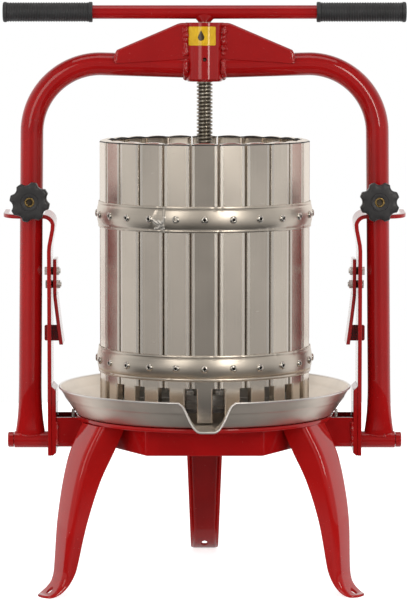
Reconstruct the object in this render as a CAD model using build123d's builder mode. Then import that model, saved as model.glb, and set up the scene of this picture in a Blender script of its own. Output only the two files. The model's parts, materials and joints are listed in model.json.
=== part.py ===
from build123d import *
import os
from math import atan2, cos, hypot, pi, radians, sin, sqrt, tan

os.makedirs("parts", exist_ok=True)

# Screw fruit press, in millimetres. The origin is on the floor under the basket's axis,
# +Z is up, +X is the right-hand side and -Y is the front, where the spout is.

# Clearances
running_clearance = 0.05     # radial, a turning shaft in its bore
body_gap = 0.4               # between pieces that move against each other
weld_gap = 0.2               # under a sheet that is welded along its edge

# Base
hexagon = 6
base_height = 209.6          # floor to the underside of the base disc
disc_thickness = 5.0
disc_margin = 2.0            # disc beyond the tray floor
skirt_inset = 19.0           # disc edge to the corners of the hexagon
skirt_height = 33.0
skirt_sheet = 3.0
channel_width = 56.0
channel_height = 36.0
channel_sheet = 4.0

# Legs: share of the height, flare from the top radius, flange depth
leg_inset = 0.5              # disc edge to the web
leg_sheet = 3.0
leg_top_width = 52.0
leg_foot_width = 36.0
leg_stations = (
    (1.000, 0.0, 37.3),
    (0.840, 18.0, 38.5),
    (0.668, 29.0, 31.0),
    (0.434, 38.0, 23.3),
    (0.196, 42.5, 16.4),
    (0.080, 46.0, 13.0),
)
foot_bend = 7.5              # web to the flat of the foot
foot_length = 21.5
foot_corner_radius = 15.0
foot_hole_radius = 4.5
foot_hole_inset = 16.5       # foot tip to the centre of its hole

# Basket
stave_count = 24
basket_radius = 131.5        # axis to the flat face of a stave
basket_height = 342.0
stave_gap = 5.0
stave_depth = 10.0
stave_sheet = 1.5
stave_bend_radius = 2.0
stave_foot_width = 19.5
stave_foot_height = 44.0
hoop_height = 32.0
hoop_sheet = 1.2
hoop_lip = 3.5
hoop_crown = 1.8
hoop_clearance = 0.2
lower_hoop_rise = 68.5       # basket bottom to the middle of the hoop
upper_hoop_drop = 91.5       # basket top to the middle of the hoop
rivet_shank_radius = 2.4
rivet_head_radius = 4.5
rivet_head_height = 1.8
rivet_hollow_radius = 1.3
rivet_hollow_depth = 1.2
rivet_tail_radius = 3.4
rivet_tail_length = 3.0

# Tray
tray_sheet = 1.5
tray_trough = 28.5           # basket face to the corner of the tray floor
tray_lower_rise = 22.1
tray_lower_flare = 16.0
tray_upper_rise = 12.3
tray_upper_flare = 7.0
spout_floor_width = 29.0
spout_mouth_width = 60.0
spout_reach = 15.0           # rim to the end of the lip
spout_corner_radius = 9.0
locator_radius = 2.0
locator_offset = 4.2         # disc edge to the stud's axis
locator_top = 4.5            # above the disc

# Uprights and their stiffeners
tray_side_gap = 3.5          # tray rim to the stiffener
stiffener_thickness = 5.5
stiffener_depth = 60.0
stiffener_rise = 41.5        # above the disc underside
stiffener_bevel = 5.5
upright_thickness = 5.0
upright_depth = 61.0
upright_drop = 48.0          # below the disc underside
upright_rise = 256.2         # disc underside to the middle of the tab
lean_height = 27.0           # length of the bar that leans in
lean_offset = 5.0
curl_radius = 12.0           # middle of the bar
tab_reach = 55.4             # beyond the upright's outer face
tab_arm = 6.5
tab_front_band = 12.0
tab_corner_radius = 22.0
window_root = 4.7            # gap between the curl's root and the tube side of the window

# Yoke
tube_radius = 14.0
tube_wall = 2.5
pivot_drop = 29.6            # disc underside to the pivot axis
pivot_pin_radius = 6.0
pivot_head_radius = 9.7
pivot_head_thickness = 7.5
boss_radius = 10.5
boss_length = 42.6
boss_side_gap = 1.0
boss_end_gap = 0.6
tube_offset = 23.5           # upright's outer face to the tube's axis at its foot
flat_rise = 58.0             # pivot axis to where the tube is round again
flat_half_width = 18.0
flat_half_depth = 9.5
flat_straight = 15.0         # pivot axis to the top of the even flattened end
yoke_lean = 0.7              # degrees, the legs lean in going up
yoke_slope = 1.7             # degrees, the top falls towards the nut
yoke_bend_radius = 86.0
yoke_rise = 91.7             # basket top to the tube's axis at the nut

# Nut block and gussets
nut_radius = 24.0
nut_drop = 18.2              # tube axis to the nut's lower face
nut_height = 73.5
nut_chamfer = 3.0
oil_hole_radius = 2.5
oil_hole_rise = 27.6
label_width = 34.0
label_height = 23.5
label_rise = 45.0
label_thickness = 0.3
gusset_sheet = 3.0
gusset_reach = 112.0
gusset_shoulder = 31.0       # flat top beside the nut
gusset_hub_rise = 11.0       # lower edge above the tube's axis
gusset_end_rise = 1.0

# Screw, handle and press plate
screw_radius = 10.0
screw_neck_radius = 8.0
handle_gap = 0.6             # nut to the weld neck with the screw run down
neck_height = 3.8
neck_flare = 14.5            # along the bar, at its axis
bar_radius = 8.6
bar_wall = 2.6
handle_length = 504.0
grip_radius = 12.1
grip_length = 112.0
grip_end_wall = 3.0
grip_collar_radius = 12.7
grip_collar_width = 5.0
plate_rest_gap = 12.0        # tray floor side of the basket to the plate
plate_side_gap = 4.5
plate_thickness = 5.0
plate_rib_count = 4
plate_rib_height = 14.0
plate_rib_sheet = 4.0
plate_rib_start = 44.0
plate_rib_margin = 16.0
cup_radius = 18.0
cup_base_radius = 36.0
cup_base_thickness = 6.0
cup_depth = 26.0
tip_radius = 8.0
tip_groove_radius = 5.0
tip_groove_width = 6.6
tip_groove_rise = 9.0
thrust_washer_thickness = 3.0
end_play = 0.3
swivel_pin_radius = 3.0
cup_bolt_count = 4
cup_bolt_circle = 27.0
cup_bolt_radius = 3.0
cup_bolt_head = 10.0         # across flats
cup_bolt_head_height = 4.0

# Clamp knobs
knob_lobes = 8
knob_radius = 25.0
knob_thickness = 15.0
knob_scallop_radius = 7.5
knob_valley_radius = 21.4
knob_edge_radius = 1.5
knob_ring_radius = 10.5
knob_ring_width = 1.0
knob_ring_depth = 0.4
knob_rise = 14.7             # above the tab
insert_radius = 6.0
insert_recess = 0.6
stud_radius = 4.0
stud_recess = 3.0            # stud end behind the knob's face
knob_washer_radius = 19.0
knob_washer_thickness = 1.5

# Catches
catch_sheet = 2.0
catch_spacer = 2.5
catch_front = 18.0           # plate in front of the upright's middle
catch_tail_gap = 1.5         # upright's back edge to the tongue
catch_tongue_sheet = 3.0
catch_top = 198.4            # above the disc underside
catch_root = 156.0
catch_bottom = 92.4
catch_slant = 8.0
catch_tongue_height = 20.5
catch_tongue_reach = 7.0     # beyond the upright's outer face
catch_bolt_radius = 3.0
catch_bolt_flats = 10.0
catch_head_height = 4.0
catch_nut_height = 5.0
catch_bolt_end = 1.5
catch_bolts_at = ((-8.0, 185.1), (14.0, 166.4))

# Levels and radii that follow from the sizes above
tray_seat = base_height + disc_thickness
tray_floor_radius = basket_radius + tray_trough
disc_radius = tray_floor_radius + disc_margin
skirt_corner_radius = disc_radius - skirt_inset
basket_bottom = tray_seat + tray_sheet + body_gap
basket_top = basket_bottom + basket_height
lower_hoop_level = basket_bottom + lower_hoop_rise
upper_hoop_level = basket_top - upper_hoop_drop
tray_crease_radius = tray_floor_radius + tray_lower_flare
tray_crease_level = tray_seat + tray_lower_rise
tray_rim_radius = tray_crease_radius + tray_upper_flare
tray_rim_level = tray_crease_level + tray_upper_rise
stiffener_inner = tray_rim_radius + tray_side_gap
upright_inner = stiffener_inner + stiffener_thickness
upright_outer = upright_inner + upright_thickness
upright_middle = upright_inner + upright_thickness / 2
upright_bottom = base_height - upright_drop
tab_level = base_height + upright_rise
tab_top = tab_level + upright_thickness / 2
tab_front = -upright_depth / 2
pivot_level = base_height - pivot_drop
boss_start = upright_outer + boss_side_gap
tube_foot_x = upright_outer + tube_offset
flat_top = pivot_level + flat_rise
yoke_level = basket_top + yoke_rise
yoke_fall = tan(radians(yoke_slope))
lean_in = tan(radians(yoke_lean))
nut_bottom = yoke_level - nut_drop
nut_top = nut_bottom + nut_height
neck_bottom = nut_top + handle_gap
bar_level = neck_bottom + neck_height + bar_radius
plate_bottom = basket_bottom + plate_rest_gap
plate_top = plate_bottom + plate_thickness
plate_radius = basket_radius - stave_depth - plate_side_gap
cup_floor = plate_top + cup_base_thickness
cup_top = cup_floor + cup_depth
tip_bottom = cup_floor + thrust_washer_thickness + end_play
knob_level = tab_top + knob_rise


def tube_axis_x(level):
    return tube_foot_x - (level - flat_top) * lean_in


def tube_axis_level(x):
    return yoke_level + x * yoke_fall


stud_x = tube_axis_x(knob_level)


def keep(piece, name):
    piece.part.label = name
    export_step(piece.part, f"parts/{name}.step")


def keep_pair(right, name):
    with BuildPart() as left:
        mirror(right.part, about=Plane.YZ)
    keep(right, f"{name}_right")
    keep(left, f"{name}_left")


# Base disc
with BuildPart() as base_disc:
    with BuildSketch(Plane.XY.offset(base_height)):
        Circle(disc_radius)
    extrude(amount=disc_thickness)
keep(base_disc, "base_disc")

# Cross channel, open at the top, from one stiffener to the other
with BuildPart() as cross_channel:
    with BuildSketch(Plane.YZ.offset(-stiffener_inner)):
        with Locations((0, base_height - channel_height / 2)):
            Rectangle(channel_width, channel_height)
        with Locations((0, base_height - channel_height / 2 + channel_sheet)):
            Rectangle(channel_width - 2 * channel_sheet, channel_height, mode=Mode.SUBTRACT)
    extrude(amount=2 * stiffener_inner)
keep(cross_channel, "cross_channel")

# Hexagonal skirt: six mitred plates, cut where the cross channel passes
skirt_level = base_height - skirt_height
with BuildPart() as base_skirt:
    with BuildSketch(Plane.XY.offset(skirt_level)):
        RegularPolygon(skirt_corner_radius, hexagon)
        RegularPolygon(skirt_corner_radius - skirt_sheet / cos(pi / hexagon), hexagon, mode=Mode.SUBTRACT)
        Rectangle(2 * skirt_corner_radius, channel_width, mode=Mode.SUBTRACT)
        for corner in range(1, hexagon // 2):
            Rectangle(2 * disc_radius, weld_gap, rotation=corner * 360 / hexagon, mode=Mode.SUBTRACT)
    extrude(amount=skirt_height)
keep(base_skirt, "base_skirt")

# Legs: a tapered channel with its web outwards, ending in a flat foot
leg_top_radius = disc_radius - leg_inset
leg_outer = [(leg_top_radius + flare, share * base_height) for share, flare, depth in leg_stations]
leg_inner = [(leg_top_radius + flare - depth, share * base_height) for share, flare, depth in leg_stations]
leg_hollow = [(radius - leg_sheet, level) for radius, level in leg_outer]
ankle_radius, ankle_level = leg_outer[-1]
foot_start = ankle_radius + foot_bend
foot_tip = foot_start + foot_length


def leg_wedge(inset):
    with BuildSketch(Plane.YZ) as wedge:
        with BuildLine():
            Polyline(
                (leg_top_width / 2 - inset, base_height),
                (-leg_top_width / 2 + inset, base_height),
                (-leg_foot_width / 2 + inset, 0),
                (leg_foot_width / 2 - inset, 0),
                close=True,
            )
        make_face()
    return wedge.sketch


with BuildPart() as leg_core:
    with BuildSketch(Plane.XZ):
        with BuildLine():
            Spline(*leg_hollow)
            Polyline(leg_hollow[-1], (0, ankle_level), (0, base_height), leg_hollow[0])
        make_face()
    extrude(amount=leg_top_width, both=True)
    add(extrude(leg_wedge(leg_sheet), amount=foot_tip, mode=Mode.PRIVATE), mode=Mode.INTERSECT)

with BuildPart() as leg_pattern:
    with BuildSketch(Plane.XZ):
        with BuildLine():
            web = Spline(*leg_outer)
            instep = TangentArc(web @ 1, (foot_start, leg_sheet), tangent=web % 1)
            Polyline(instep @ 1, (foot_tip, leg_sheet), (foot_tip, 0), (foot_start, 0), leg_inner[-1])
            Spline(*leg_inner)
            Line(leg_inner[0], leg_outer[0])
        make_face()
    extrude(amount=leg_top_width, both=True)
    add(extrude(leg_wedge(0), amount=2 * foot_tip, mode=Mode.PRIVATE), mode=Mode.INTERSECT)
    add(leg_core.part, mode=Mode.SUBTRACT)
    with Locations((foot_tip - foot_hole_inset, 0, leg_sheet)):
        Hole(foot_hole_radius, leg_sheet)
    tip_edges = leg_pattern.edges().group_by(Axis.X)[-1].sort_by(Axis.Y)
    fillet([tip_edges[0], tip_edges[-1]], foot_corner_radius)

for leg_name, leg_turn in (("leg_front_right", -30), ("leg_rear", 90), ("leg_front_left", 210)):
    with BuildPart() as leg:
        add(leg_pattern.part, rotation=(0, 0, leg_turn))
    keep(leg, leg_name)

# Uprights: flat bar that leans in, curls over and ends in a tab open towards the back
lean_angle = atan2(lean_offset, lean_height)
curl_start = tab_level - curl_radius * (1 + sin(lean_angle))
lean_start = curl_start - lean_height
curl_x = upright_middle - lean_offset
tab_end = upright_outer + tab_reach
window_start = upright_outer - lean_offset + window_root
window_end = tab_end - tab_arm
window_front = tab_front + tab_front_band

with BuildPart() as upright_right:
    with BuildSketch(Plane.XZ):
        with BuildLine():
            shank_start = (upright_middle, upright_bottom + upright_thickness / 2)
            shank = Line(shank_start, (upright_middle, lean_start))
            lean = Line(shank @ 1, (curl_x, curl_start))
            curl = TangentArc(lean @ 1, (curl_x + curl_radius * cos(lean_angle), tab_level), tangent=lean % 1)
            Line(curl @ 1, (tab_end - upright_thickness / 2, tab_level))
            offset(amount=upright_thickness / 2, side=Side.BOTH)
        make_face()
    extrude(amount=upright_depth / 2, both=True)
    with BuildSketch(Plane.XY.offset(tab_level - upright_thickness)):
        with BuildLine():
            Polyline(
                (window_start, upright_depth),
                (window_start, window_front),
                (window_end, window_front),
                (window_end, upright_depth),
                close=True,
            )
        make_face()
    extrude(amount=2 * upright_thickness, mode=Mode.SUBTRACT)
    with Locations(Plane.YZ.offset(upright_inner).location):
        with Locations((0, pivot_level)):
            Cylinder(pivot_pin_radius, 4 * upright_thickness, mode=Mode.SUBTRACT)
        with Locations(*[(y, base_height + rise) for y, rise in catch_bolts_at]):
            Cylinder(catch_bolt_radius, 4 * upright_thickness, mode=Mode.SUBTRACT)
    front_corner = upright_right.edges().filter_by(Axis.Z).group_by(Axis.X)[-1].sort_by(Axis.Y)[0]
    fillet(front_corner, tab_corner_radius)
keep_pair(upright_right, "upright")

# Stiffeners between the uprights and the ends of the cross channel
stiffener_top = base_height + stiffener_rise
with BuildPart() as stiffener_right:
    with BuildSketch(Plane.XZ):
        with BuildLine():
            Polyline(
                (stiffener_inner, upright_bottom + stiffener_bevel),
                (stiffener_inner, stiffener_top - stiffener_bevel),
                (upright_inner, stiffener_top),
                (upright_inner, upright_bottom),
                close=True,
            )
        make_face()
    extrude(amount=stiffener_depth / 2, both=True)
    with Locations(Plane.YZ.offset(upright_inner).location):
        with Locations((0, pivot_level)):
            Cylinder(pivot_pin_radius, 4 * stiffener_thickness, mode=Mode.SUBTRACT)
keep_pair(stiffener_right, "stiffener")

# Pivot pins, welded into the uprights, with a head that keeps the boss on
boss_end = boss_start + boss_length
with BuildPart() as pivot_pin_right:
    with BuildSketch(Plane.YZ.offset(stiffener_inner)):
        with Locations((0, pivot_level)):
            Circle(pivot_pin_radius)
    extrude(amount=boss_end + boss_end_gap - stiffener_inner)
    with BuildSketch(Plane.YZ.offset(boss_end + boss_end_gap)):
        with Locations((0, pivot_level)):
            Circle(pivot_head_radius)
    extrude(amount=pivot_head_thickness)
    chamfer(pivot_pin_right.edges().sort_by(Axis.X)[-1], pivot_head_thickness / 8)
keep_pair(pivot_pin_right, "pivot_pin")

# Pivot bosses at the feet of the yoke
with BuildPart() as pivot_boss_right:
    with BuildSketch(Plane.YZ.offset(boss_start)):
        with Locations((0, pivot_level)):
            Circle(boss_radius)
            Circle(pivot_pin_radius + running_clearance, mode=Mode.SUBTRACT)
    extrude(amount=boss_length)
keep_pair(pivot_boss_right, "pivot_boss")

# Yoke tubes: round from the nut to the knee of the flattened foot, coped to nut and boss
corner_x = tube_axis_x(yoke_level)
knuckle = (corner_x, tube_axis_level(corner_x))
hub_x = nut_radius / 2
tube_foot = Plane(origin=(tube_foot_x, 0, flat_top), x_dir=(1, 0, lean_in), z_dir=(-lean_in, 0, 1))


def flat_section(level, inset):
    with BuildSketch(Plane.XY.offset(level)) as section:
        with Locations((tube_foot_x, 0)):
            Ellipse(flat_half_width - inset, flat_half_depth - inset)
    return section.sketch


def round_section(inset):
    with BuildSketch(tube_foot) as section:
        Circle(tube_radius - inset)
    return section.sketch


with BuildPart() as flat_bore:
    loft([flat_section(pivot_level + flat_straight, tube_wall), round_section(tube_wall)])
    extrude(flat_section(pivot_level, tube_wall), amount=flat_straight)

with BuildPart() as yoke_tube_right:
    with BuildLine() as yoke_path:
        FilletPolyline(
            (tube_foot_x, 0, flat_top),
            (knuckle[0], 0, knuckle[1]),
            (hub_x, 0, tube_axis_level(hub_x)),
            radius=yoke_bend_radius,
        )
    with BuildSketch(tube_foot):
        Circle(tube_radius)
        Circle(tube_radius - tube_wall, mode=Mode.SUBTRACT)
    sweep(path=yoke_path.line)
    loft([flat_section(pivot_level + flat_straight, 0), round_section(0)])
    extrude(flat_section(pivot_level, 0), amount=flat_straight)
    add(flat_bore.part, mode=Mode.SUBTRACT)
    with Locations(Plane.YZ.offset(tube_foot_x).location):
        with Locations((0, pivot_level)):
            Cylinder(boss_radius, 2 * boss_length, mode=Mode.SUBTRACT)
    with Locations((0, 0, yoke_level)):
        Cylinder(nut_radius, 4 * nut_height, mode=Mode.SUBTRACT)
    with BuildSketch(Plane.XZ):
        with Locations((stud_x, knob_level)):
            Circle(stud_radius)
    extrude(amount=2 * tube_radius, mode=Mode.SUBTRACT)
keep_pair(yoke_tube_right, "yoke_tube")

# Nut block, with an oil hole at the front
with BuildPart() as nut_block:
    with BuildSketch(Plane.XY.offset(nut_bottom)):
        Circle(nut_radius)
    extrude(amount=nut_height)
    chamfer(nut_block.edges().sort_by(Axis.Z)[0], nut_chamfer)
    with Locations((0, 0, nut_bottom)):
        Cylinder(screw_radius + running_clearance, 4 * nut_height, mode=Mode.SUBTRACT)
    with BuildSketch(Plane.XZ):
        with Locations((0, nut_bottom + oil_hole_rise)):
            Circle(oil_hole_radius)
    extrude(amount=2 * nut_radius, mode=Mode.SUBTRACT)
keep(nut_block, "nut_block")

# Label, wrapped round the front of the nut block
label_half_angle = label_width / nut_radius / 2 * 180 / pi
with BuildPart() as oil_label:
    with BuildSketch(Plane.XY.offset(nut_bottom + label_rise)):
        with BuildLine():
            label_start = 270 - label_half_angle
            inner = CenterArc((0, 0), nut_radius, label_start, 2 * label_half_angle)
            outer = CenterArc((0, 0), nut_radius + label_thickness, label_start, 2 * label_half_angle)
            Line(inner @ 0, outer @ 0)
            Line(inner @ 1, outer @ 1)
        make_face()
    extrude(amount=label_height)
keep(oil_label, "oil_label")

# Gussets: folded saddles over the yoke tube, welded to the nut block
gusset_half_width = tube_radius + weld_gap + gusset_sheet
gusset_end_top = tube_axis_level(gusset_reach) + tube_radius + weld_gap + gusset_sheet


def gusset_profile(drop):
    with BuildSketch(Plane.XZ) as profile:
        with BuildLine():
            Polyline(
                (0, yoke_level + gusset_hub_rise),
                (0, nut_top - drop),
                (gusset_shoulder, nut_top - drop),
                (gusset_reach, gusset_end_top - drop),
                (gusset_reach, tube_axis_level(gusset_reach) + gusset_end_rise),
                close=True,
            )
        make_face()
    return profile.sketch


with BuildPart() as gusset_inside:
    extrude(gusset_profile(gusset_sheet), amount=gusset_half_width - gusset_sheet, both=True)

with BuildPart() as gusset_right:
    extrude(gusset_profile(0), amount=gusset_half_width, both=True)
    add(gusset_inside.part, mode=Mode.SUBTRACT)
    with Locations((0, 0, yoke_level)):
        Cylinder(nut_radius, 4 * nut_height, mode=Mode.SUBTRACT)
keep_pair(gusset_right, "gusset")

# Screw: a plain crest cylinder with a neck for the handle and a grooved tip for the swivel
with BuildPart() as screw:
    with BuildSketch(Plane.XY.offset(tip_bottom)):
        Circle(tip_radius)
    extrude(amount=cup_top + body_gap - tip_bottom)
    with BuildSketch(Plane.XY.offset(cup_top + body_gap)):
        Circle(screw_radius)
    extrude(amount=nut_top - cup_top - body_gap)
    with BuildSketch(Plane.XY.offset(nut_top)):
        Circle(screw_neck_radius)
    extrude(amount=handle_gap)
    with BuildSketch(Plane.XY.offset(tip_bottom + tip_groove_rise)):
        Circle(screw_radius)
        Circle(tip_groove_radius, mode=Mode.SUBTRACT)
    extrude(amount=tip_groove_width, mode=Mode.SUBTRACT)
keep(screw, "screw")

# Handle bar: a tube with a flared weld neck under its middle
bar_half_length = handle_length / 2 - grip_end_wall
with BuildPart() as handle_bar:
    with BuildSketch(Plane.YZ.offset(-bar_half_length)):
        with Locations((0, bar_level)):
            Circle(bar_radius)
    extrude(amount=2 * bar_half_length)
    with BuildSketch(Plane.XY.offset(neck_bottom)):
        Circle(screw_neck_radius)
    with BuildSketch(Plane.XY.offset(bar_level)):
        Ellipse(screw_neck_radius + neck_flare, screw_neck_radius)
    loft()
    with BuildSketch(Plane.YZ.offset(-bar_half_length)):
        with Locations((0, bar_level)):
            Circle(bar_radius - bar_wall)
    extrude(amount=2 * bar_half_length, mode=Mode.SUBTRACT)
keep(handle_bar, "handle_bar")

# Grips: closed sleeves with a collar at each end
grip_start = handle_length / 2 - grip_length
with BuildPart() as grip_right:
    for start, length, radius in (
        (grip_start, grip_length, grip_radius),
        (grip_start, grip_collar_width, grip_collar_radius),
        (grip_start + grip_length - grip_collar_width, grip_collar_width, grip_collar_radius),
    ):
        with BuildSketch(Plane.YZ.offset(start)):
            with Locations((0, bar_level)):
                Circle(radius)
        extrude(amount=length)
    with BuildSketch(Plane.YZ.offset(grip_start)):
        with Locations((0, bar_level)):
            Circle(bar_radius)
    extrude(amount=grip_length - grip_end_wall, mode=Mode.SUBTRACT)
keep_pair(grip_right, "grip")

# Press plate: a disc stiffened by radial ribs
rib_length = plate_radius - plate_rib_margin - plate_rib_start
with BuildPart() as press_plate:
    with BuildSketch(Plane.XY.offset(plate_bottom)):
        Circle(plate_radius)
    extrude(amount=plate_thickness)
    with BuildSketch(Plane.XY.offset(plate_top)):
        with PolarLocations(plate_rib_start + rib_length / 2, plate_rib_count):
            Rectangle(rib_length, plate_rib_sheet)
    extrude(amount=plate_rib_height)
    with Locations((0, 0, plate_bottom)):
        with PolarLocations(cup_bolt_circle, cup_bolt_count, 45):
            Cylinder(cup_bolt_radius, 4 * plate_thickness, mode=Mode.SUBTRACT)
keep(press_plate, "press_plate")

# Swivel cup, bolted to the plate, with two cross holes for the retaining pins
pin_level = tip_bottom + tip_groove_rise + tip_groove_width / 2
pin_offset = tip_groove_radius + swivel_pin_radius + end_play
with BuildPart() as swivel_cup:
    with BuildSketch(Plane.XY.offset(plate_top)):
        Circle(cup_base_radius)
    extrude(amount=cup_base_thickness)
    with BuildSketch(Plane.XY.offset(cup_floor)):
        Circle(cup_radius)
    extrude(amount=cup_depth)
    with BuildSketch(Plane.XY.offset(cup_floor)):
        Circle(tip_radius + running_clearance)
    extrude(amount=cup_depth, mode=Mode.SUBTRACT)
    with Locations((0, 0, plate_top)):
        with PolarLocations(cup_bolt_circle, cup_bolt_count, 45):
            Cylinder(cup_bolt_radius, 4 * cup_base_thickness, mode=Mode.SUBTRACT)
    with BuildSketch(Plane.XZ.offset(-2 * cup_radius)):
        with Locations((-pin_offset, pin_level), (pin_offset, pin_level)):
            Circle(swivel_pin_radius)
    extrude(amount=4 * cup_radius, mode=Mode.SUBTRACT)
keep(swivel_cup, "swivel_cup")

# Retaining pins in the groove of the screw tip
pin_half_length = sqrt(cup_radius**2 - (pin_offset + swivel_pin_radius) ** 2)
with BuildPart() as swivel_pins:
    with BuildSketch(Plane.XZ):
        with Locations((-pin_offset, pin_level), (pin_offset, pin_level)):
            Circle(swivel_pin_radius)
    extrude(amount=pin_half_length, both=True)
keep(swivel_pins, "swivel_pins")

# Thrust washer under the screw tip
with BuildPart() as thrust_washer:
    with BuildSketch(Plane.XY.offset(cup_floor)):
        Circle(tip_radius)
    extrude(amount=thrust_washer_thickness)
keep(thrust_washer, "thrust_washer")

# Bolts that hold the cup to the plate
with BuildPart() as cup_bolts:
    with BuildSketch(Plane.XY.offset(plate_bottom)):
        with PolarLocations(cup_bolt_circle, cup_bolt_count, 45):
            Circle(cup_bolt_radius)
    extrude(amount=plate_thickness + cup_base_thickness)
    with BuildSketch(Plane.XY.offset(cup_floor)):
        with PolarLocations(cup_bolt_circle, cup_bolt_count, 45):
            RegularPolygon(cup_bolt_head / 2, hexagon, major_radius=False)
    extrude(amount=cup_bolt_head_height)
keep(cup_bolts, "cup_bolts")

# Knob studs, welded into the front wall of the yoke tubes
knob_washer_front = tab_front - body_gap - knob_washer_thickness
knob_back = knob_washer_front - weld_gap
knob_face = knob_back - knob_thickness
stud_end = knob_face + stud_recess
stud_root = -(tube_radius - tube_wall)
with BuildPart() as knob_stud_right:
    with BuildSketch(Plane.XZ.offset(-stud_root)):
        with Locations((stud_x, knob_level)):
            Circle(stud_radius)
    extrude(amount=stud_root - stud_end)
keep_pair(knob_stud_right, "knob_stud")

# Washers between the knobs and the tabs
with BuildPart() as knob_washer_right:
    with BuildSketch(Plane.XZ.offset(-tab_front + body_gap)):
        with Locations((stud_x, knob_level)):
            Circle(knob_washer_radius)
            Circle(stud_radius + running_clearance, mode=Mode.SUBTRACT)
    extrude(amount=knob_washer_thickness)
keep_pair(knob_washer_right, "knob_washer")

# Knobs with scalloped rims
with BuildPart() as knob_right:
    with BuildSketch(Plane.XZ.offset(-knob_back)):
        with Locations((stud_x, knob_level)):
            Circle(knob_radius)
            with PolarLocations(knob_valley_radius + knob_scallop_radius, knob_lobes, 180 / knob_lobes):
                Circle(knob_scallop_radius, mode=Mode.SUBTRACT)
            Circle(insert_radius, mode=Mode.SUBTRACT)
    extrude(amount=knob_thickness)
    rim_edges = knob_right.faces().sort_by(Axis.Y)[0].outer_wire().edges()
    fillet(rim_edges, knob_edge_radius)
    with BuildSketch(Plane.XZ.offset(-knob_face)):
        with Locations((stud_x, knob_level)):
            Circle(knob_ring_radius + knob_ring_width)
            Circle(knob_ring_radius, mode=Mode.SUBTRACT)
    extrude(amount=-knob_ring_depth, mode=Mode.SUBTRACT)
keep_pair(knob_right, "knob")

# Brass inserts moulded into the knobs
with BuildPart() as knob_insert_right:
    with BuildSketch(Plane.XZ.offset(-knob_back)):
        with Locations((stud_x, knob_level)):
            Circle(insert_radius)
            Circle(stud_radius + running_clearance, mode=Mode.SUBTRACT)
    extrude(amount=knob_thickness - insert_recess)
keep_pair(knob_insert_right, "knob_insert")

# Catches: a leaf bolted to the upright, with a tongue that reaches round the upright's back edge.
# The leaf bends at its root, so the bolted end and the arm are separate pieces.
catch_outer = upright_inner - catch_spacer
catch_inner = catch_outer - catch_sheet
catch_root_level = base_height + catch_root
catch_bottom_level = base_height + catch_bottom
catch_back = upright_depth / 2 + catch_tail_gap
catch_places = [(y, base_height + rise) for y, rise in catch_bolts_at]

with BuildPart() as catch_plate_right:
    with BuildSketch(Plane.XZ.offset(-catch_back)):
        with Locations((catch_inner, catch_root_level)):
            Rectangle(catch_sheet, catch_top - catch_root, align=Align.MIN)
    extrude(amount=catch_back + catch_front)
    with Locations(Plane.YZ.offset(catch_inner).location):
        with Locations(*catch_places):
            Cylinder(catch_bolt_radius, 4 * catch_sheet, mode=Mode.SUBTRACT)
keep_pair(catch_plate_right, "catch_plate")

with BuildPart() as catch_arm_right:
    with BuildSketch(Plane.XZ.offset(-catch_back)):
        with BuildLine():
            Polyline(
                (catch_inner, catch_root_level - body_gap),
                (catch_outer, catch_root_level - body_gap),
                (catch_outer - catch_slant, catch_bottom_level),
                (catch_inner - catch_slant, catch_bottom_level),
                close=True,
            )
        make_face()
    extrude(amount=catch_back + catch_front)
    with BuildSketch(Plane.XZ.offset(-catch_back)):
        with Locations((catch_inner - catch_slant, catch_bottom_level)):
            tongue_length = upright_outer + catch_tongue_reach - catch_inner + catch_slant
            Rectangle(tongue_length, catch_tongue_height, align=Align.MIN)
    extrude(amount=-catch_tongue_sheet)
keep_pair(catch_arm_right, "catch_arm")

# Catch bolts with their heads outside the uprights, spacers and nuts
with BuildPart() as catch_bolts_right:
    with BuildSketch(Plane.YZ.offset(catch_inner - catch_nut_height - catch_bolt_end)):
        with Locations(*catch_places):
            Circle(catch_bolt_radius)
    extrude(amount=upright_outer - catch_inner + catch_nut_height + catch_bolt_end)
    with BuildSketch(Plane.YZ.offset(upright_outer)):
        with Locations(*catch_places):
            RegularPolygon(catch_bolt_flats / 2, hexagon, major_radius=False)
    extrude(amount=catch_head_height)
keep_pair(catch_bolts_right, "catch_bolts")

with BuildPart() as catch_spacers_right:
    with BuildSketch(Plane.YZ.offset(catch_outer)):
        with Locations(*catch_places):
            Circle(catch_bolt_flats / 2)
            Circle(catch_bolt_radius, mode=Mode.SUBTRACT)
    extrude(amount=catch_spacer)
keep_pair(catch_spacers_right, "catch_spacers")

with BuildPart() as catch_nuts_right:
    with BuildSketch(Plane.YZ.offset(catch_inner - catch_nut_height)):
        with Locations(*catch_places):
            RegularPolygon(catch_bolt_flats / 2, hexagon, major_radius=False)
            Circle(catch_bolt_radius, mode=Mode.SUBTRACT)
    extrude(amount=catch_nut_height)
keep_pair(catch_nuts_right, "catch_nuts")

# Tray: a spun bowl with a spout pulled out of its front wall
lower_shift = tray_sheet * hypot(1, tray_lower_flare / tray_lower_rise)
spout_back = tray_floor_radius / 2


def trough_section(inset):
    mouth = spout_mouth_width / 2 - inset
    floor = spout_floor_width / 2 - inset
    with BuildSketch(Plane.XZ.offset(spout_back)) as section:
        with BuildLine():
            trough = FilletPolyline(
                (-mouth, tray_rim_level),
                (-floor, tray_seat + inset),
                (floor, tray_seat + inset),
                (mouth, tray_rim_level),
                radius=spout_corner_radius,
            )
            Line(trough @ 1, trough @ 0)
        make_face()
    return section.sketch


with BuildPart() as tray_inside:
    with BuildSketch(Plane.XZ):
        with BuildLine():
            Polyline(
                (0, tray_seat + tray_sheet),
                (tray_floor_radius - lower_shift + tray_sheet * tray_lower_flare / tray_lower_rise,
                 tray_seat + tray_sheet),
                (tray_crease_radius - lower_shift, tray_crease_level),
                (tray_rim_radius - lower_shift, tray_rim_level),
                (0, tray_rim_level),
                close=True,
            )
        make_face()
    revolve(axis=Axis.Z)

with BuildPart() as spout_channel:
    extrude(trough_section(tray_sheet), amount=tray_rim_radius)

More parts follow.
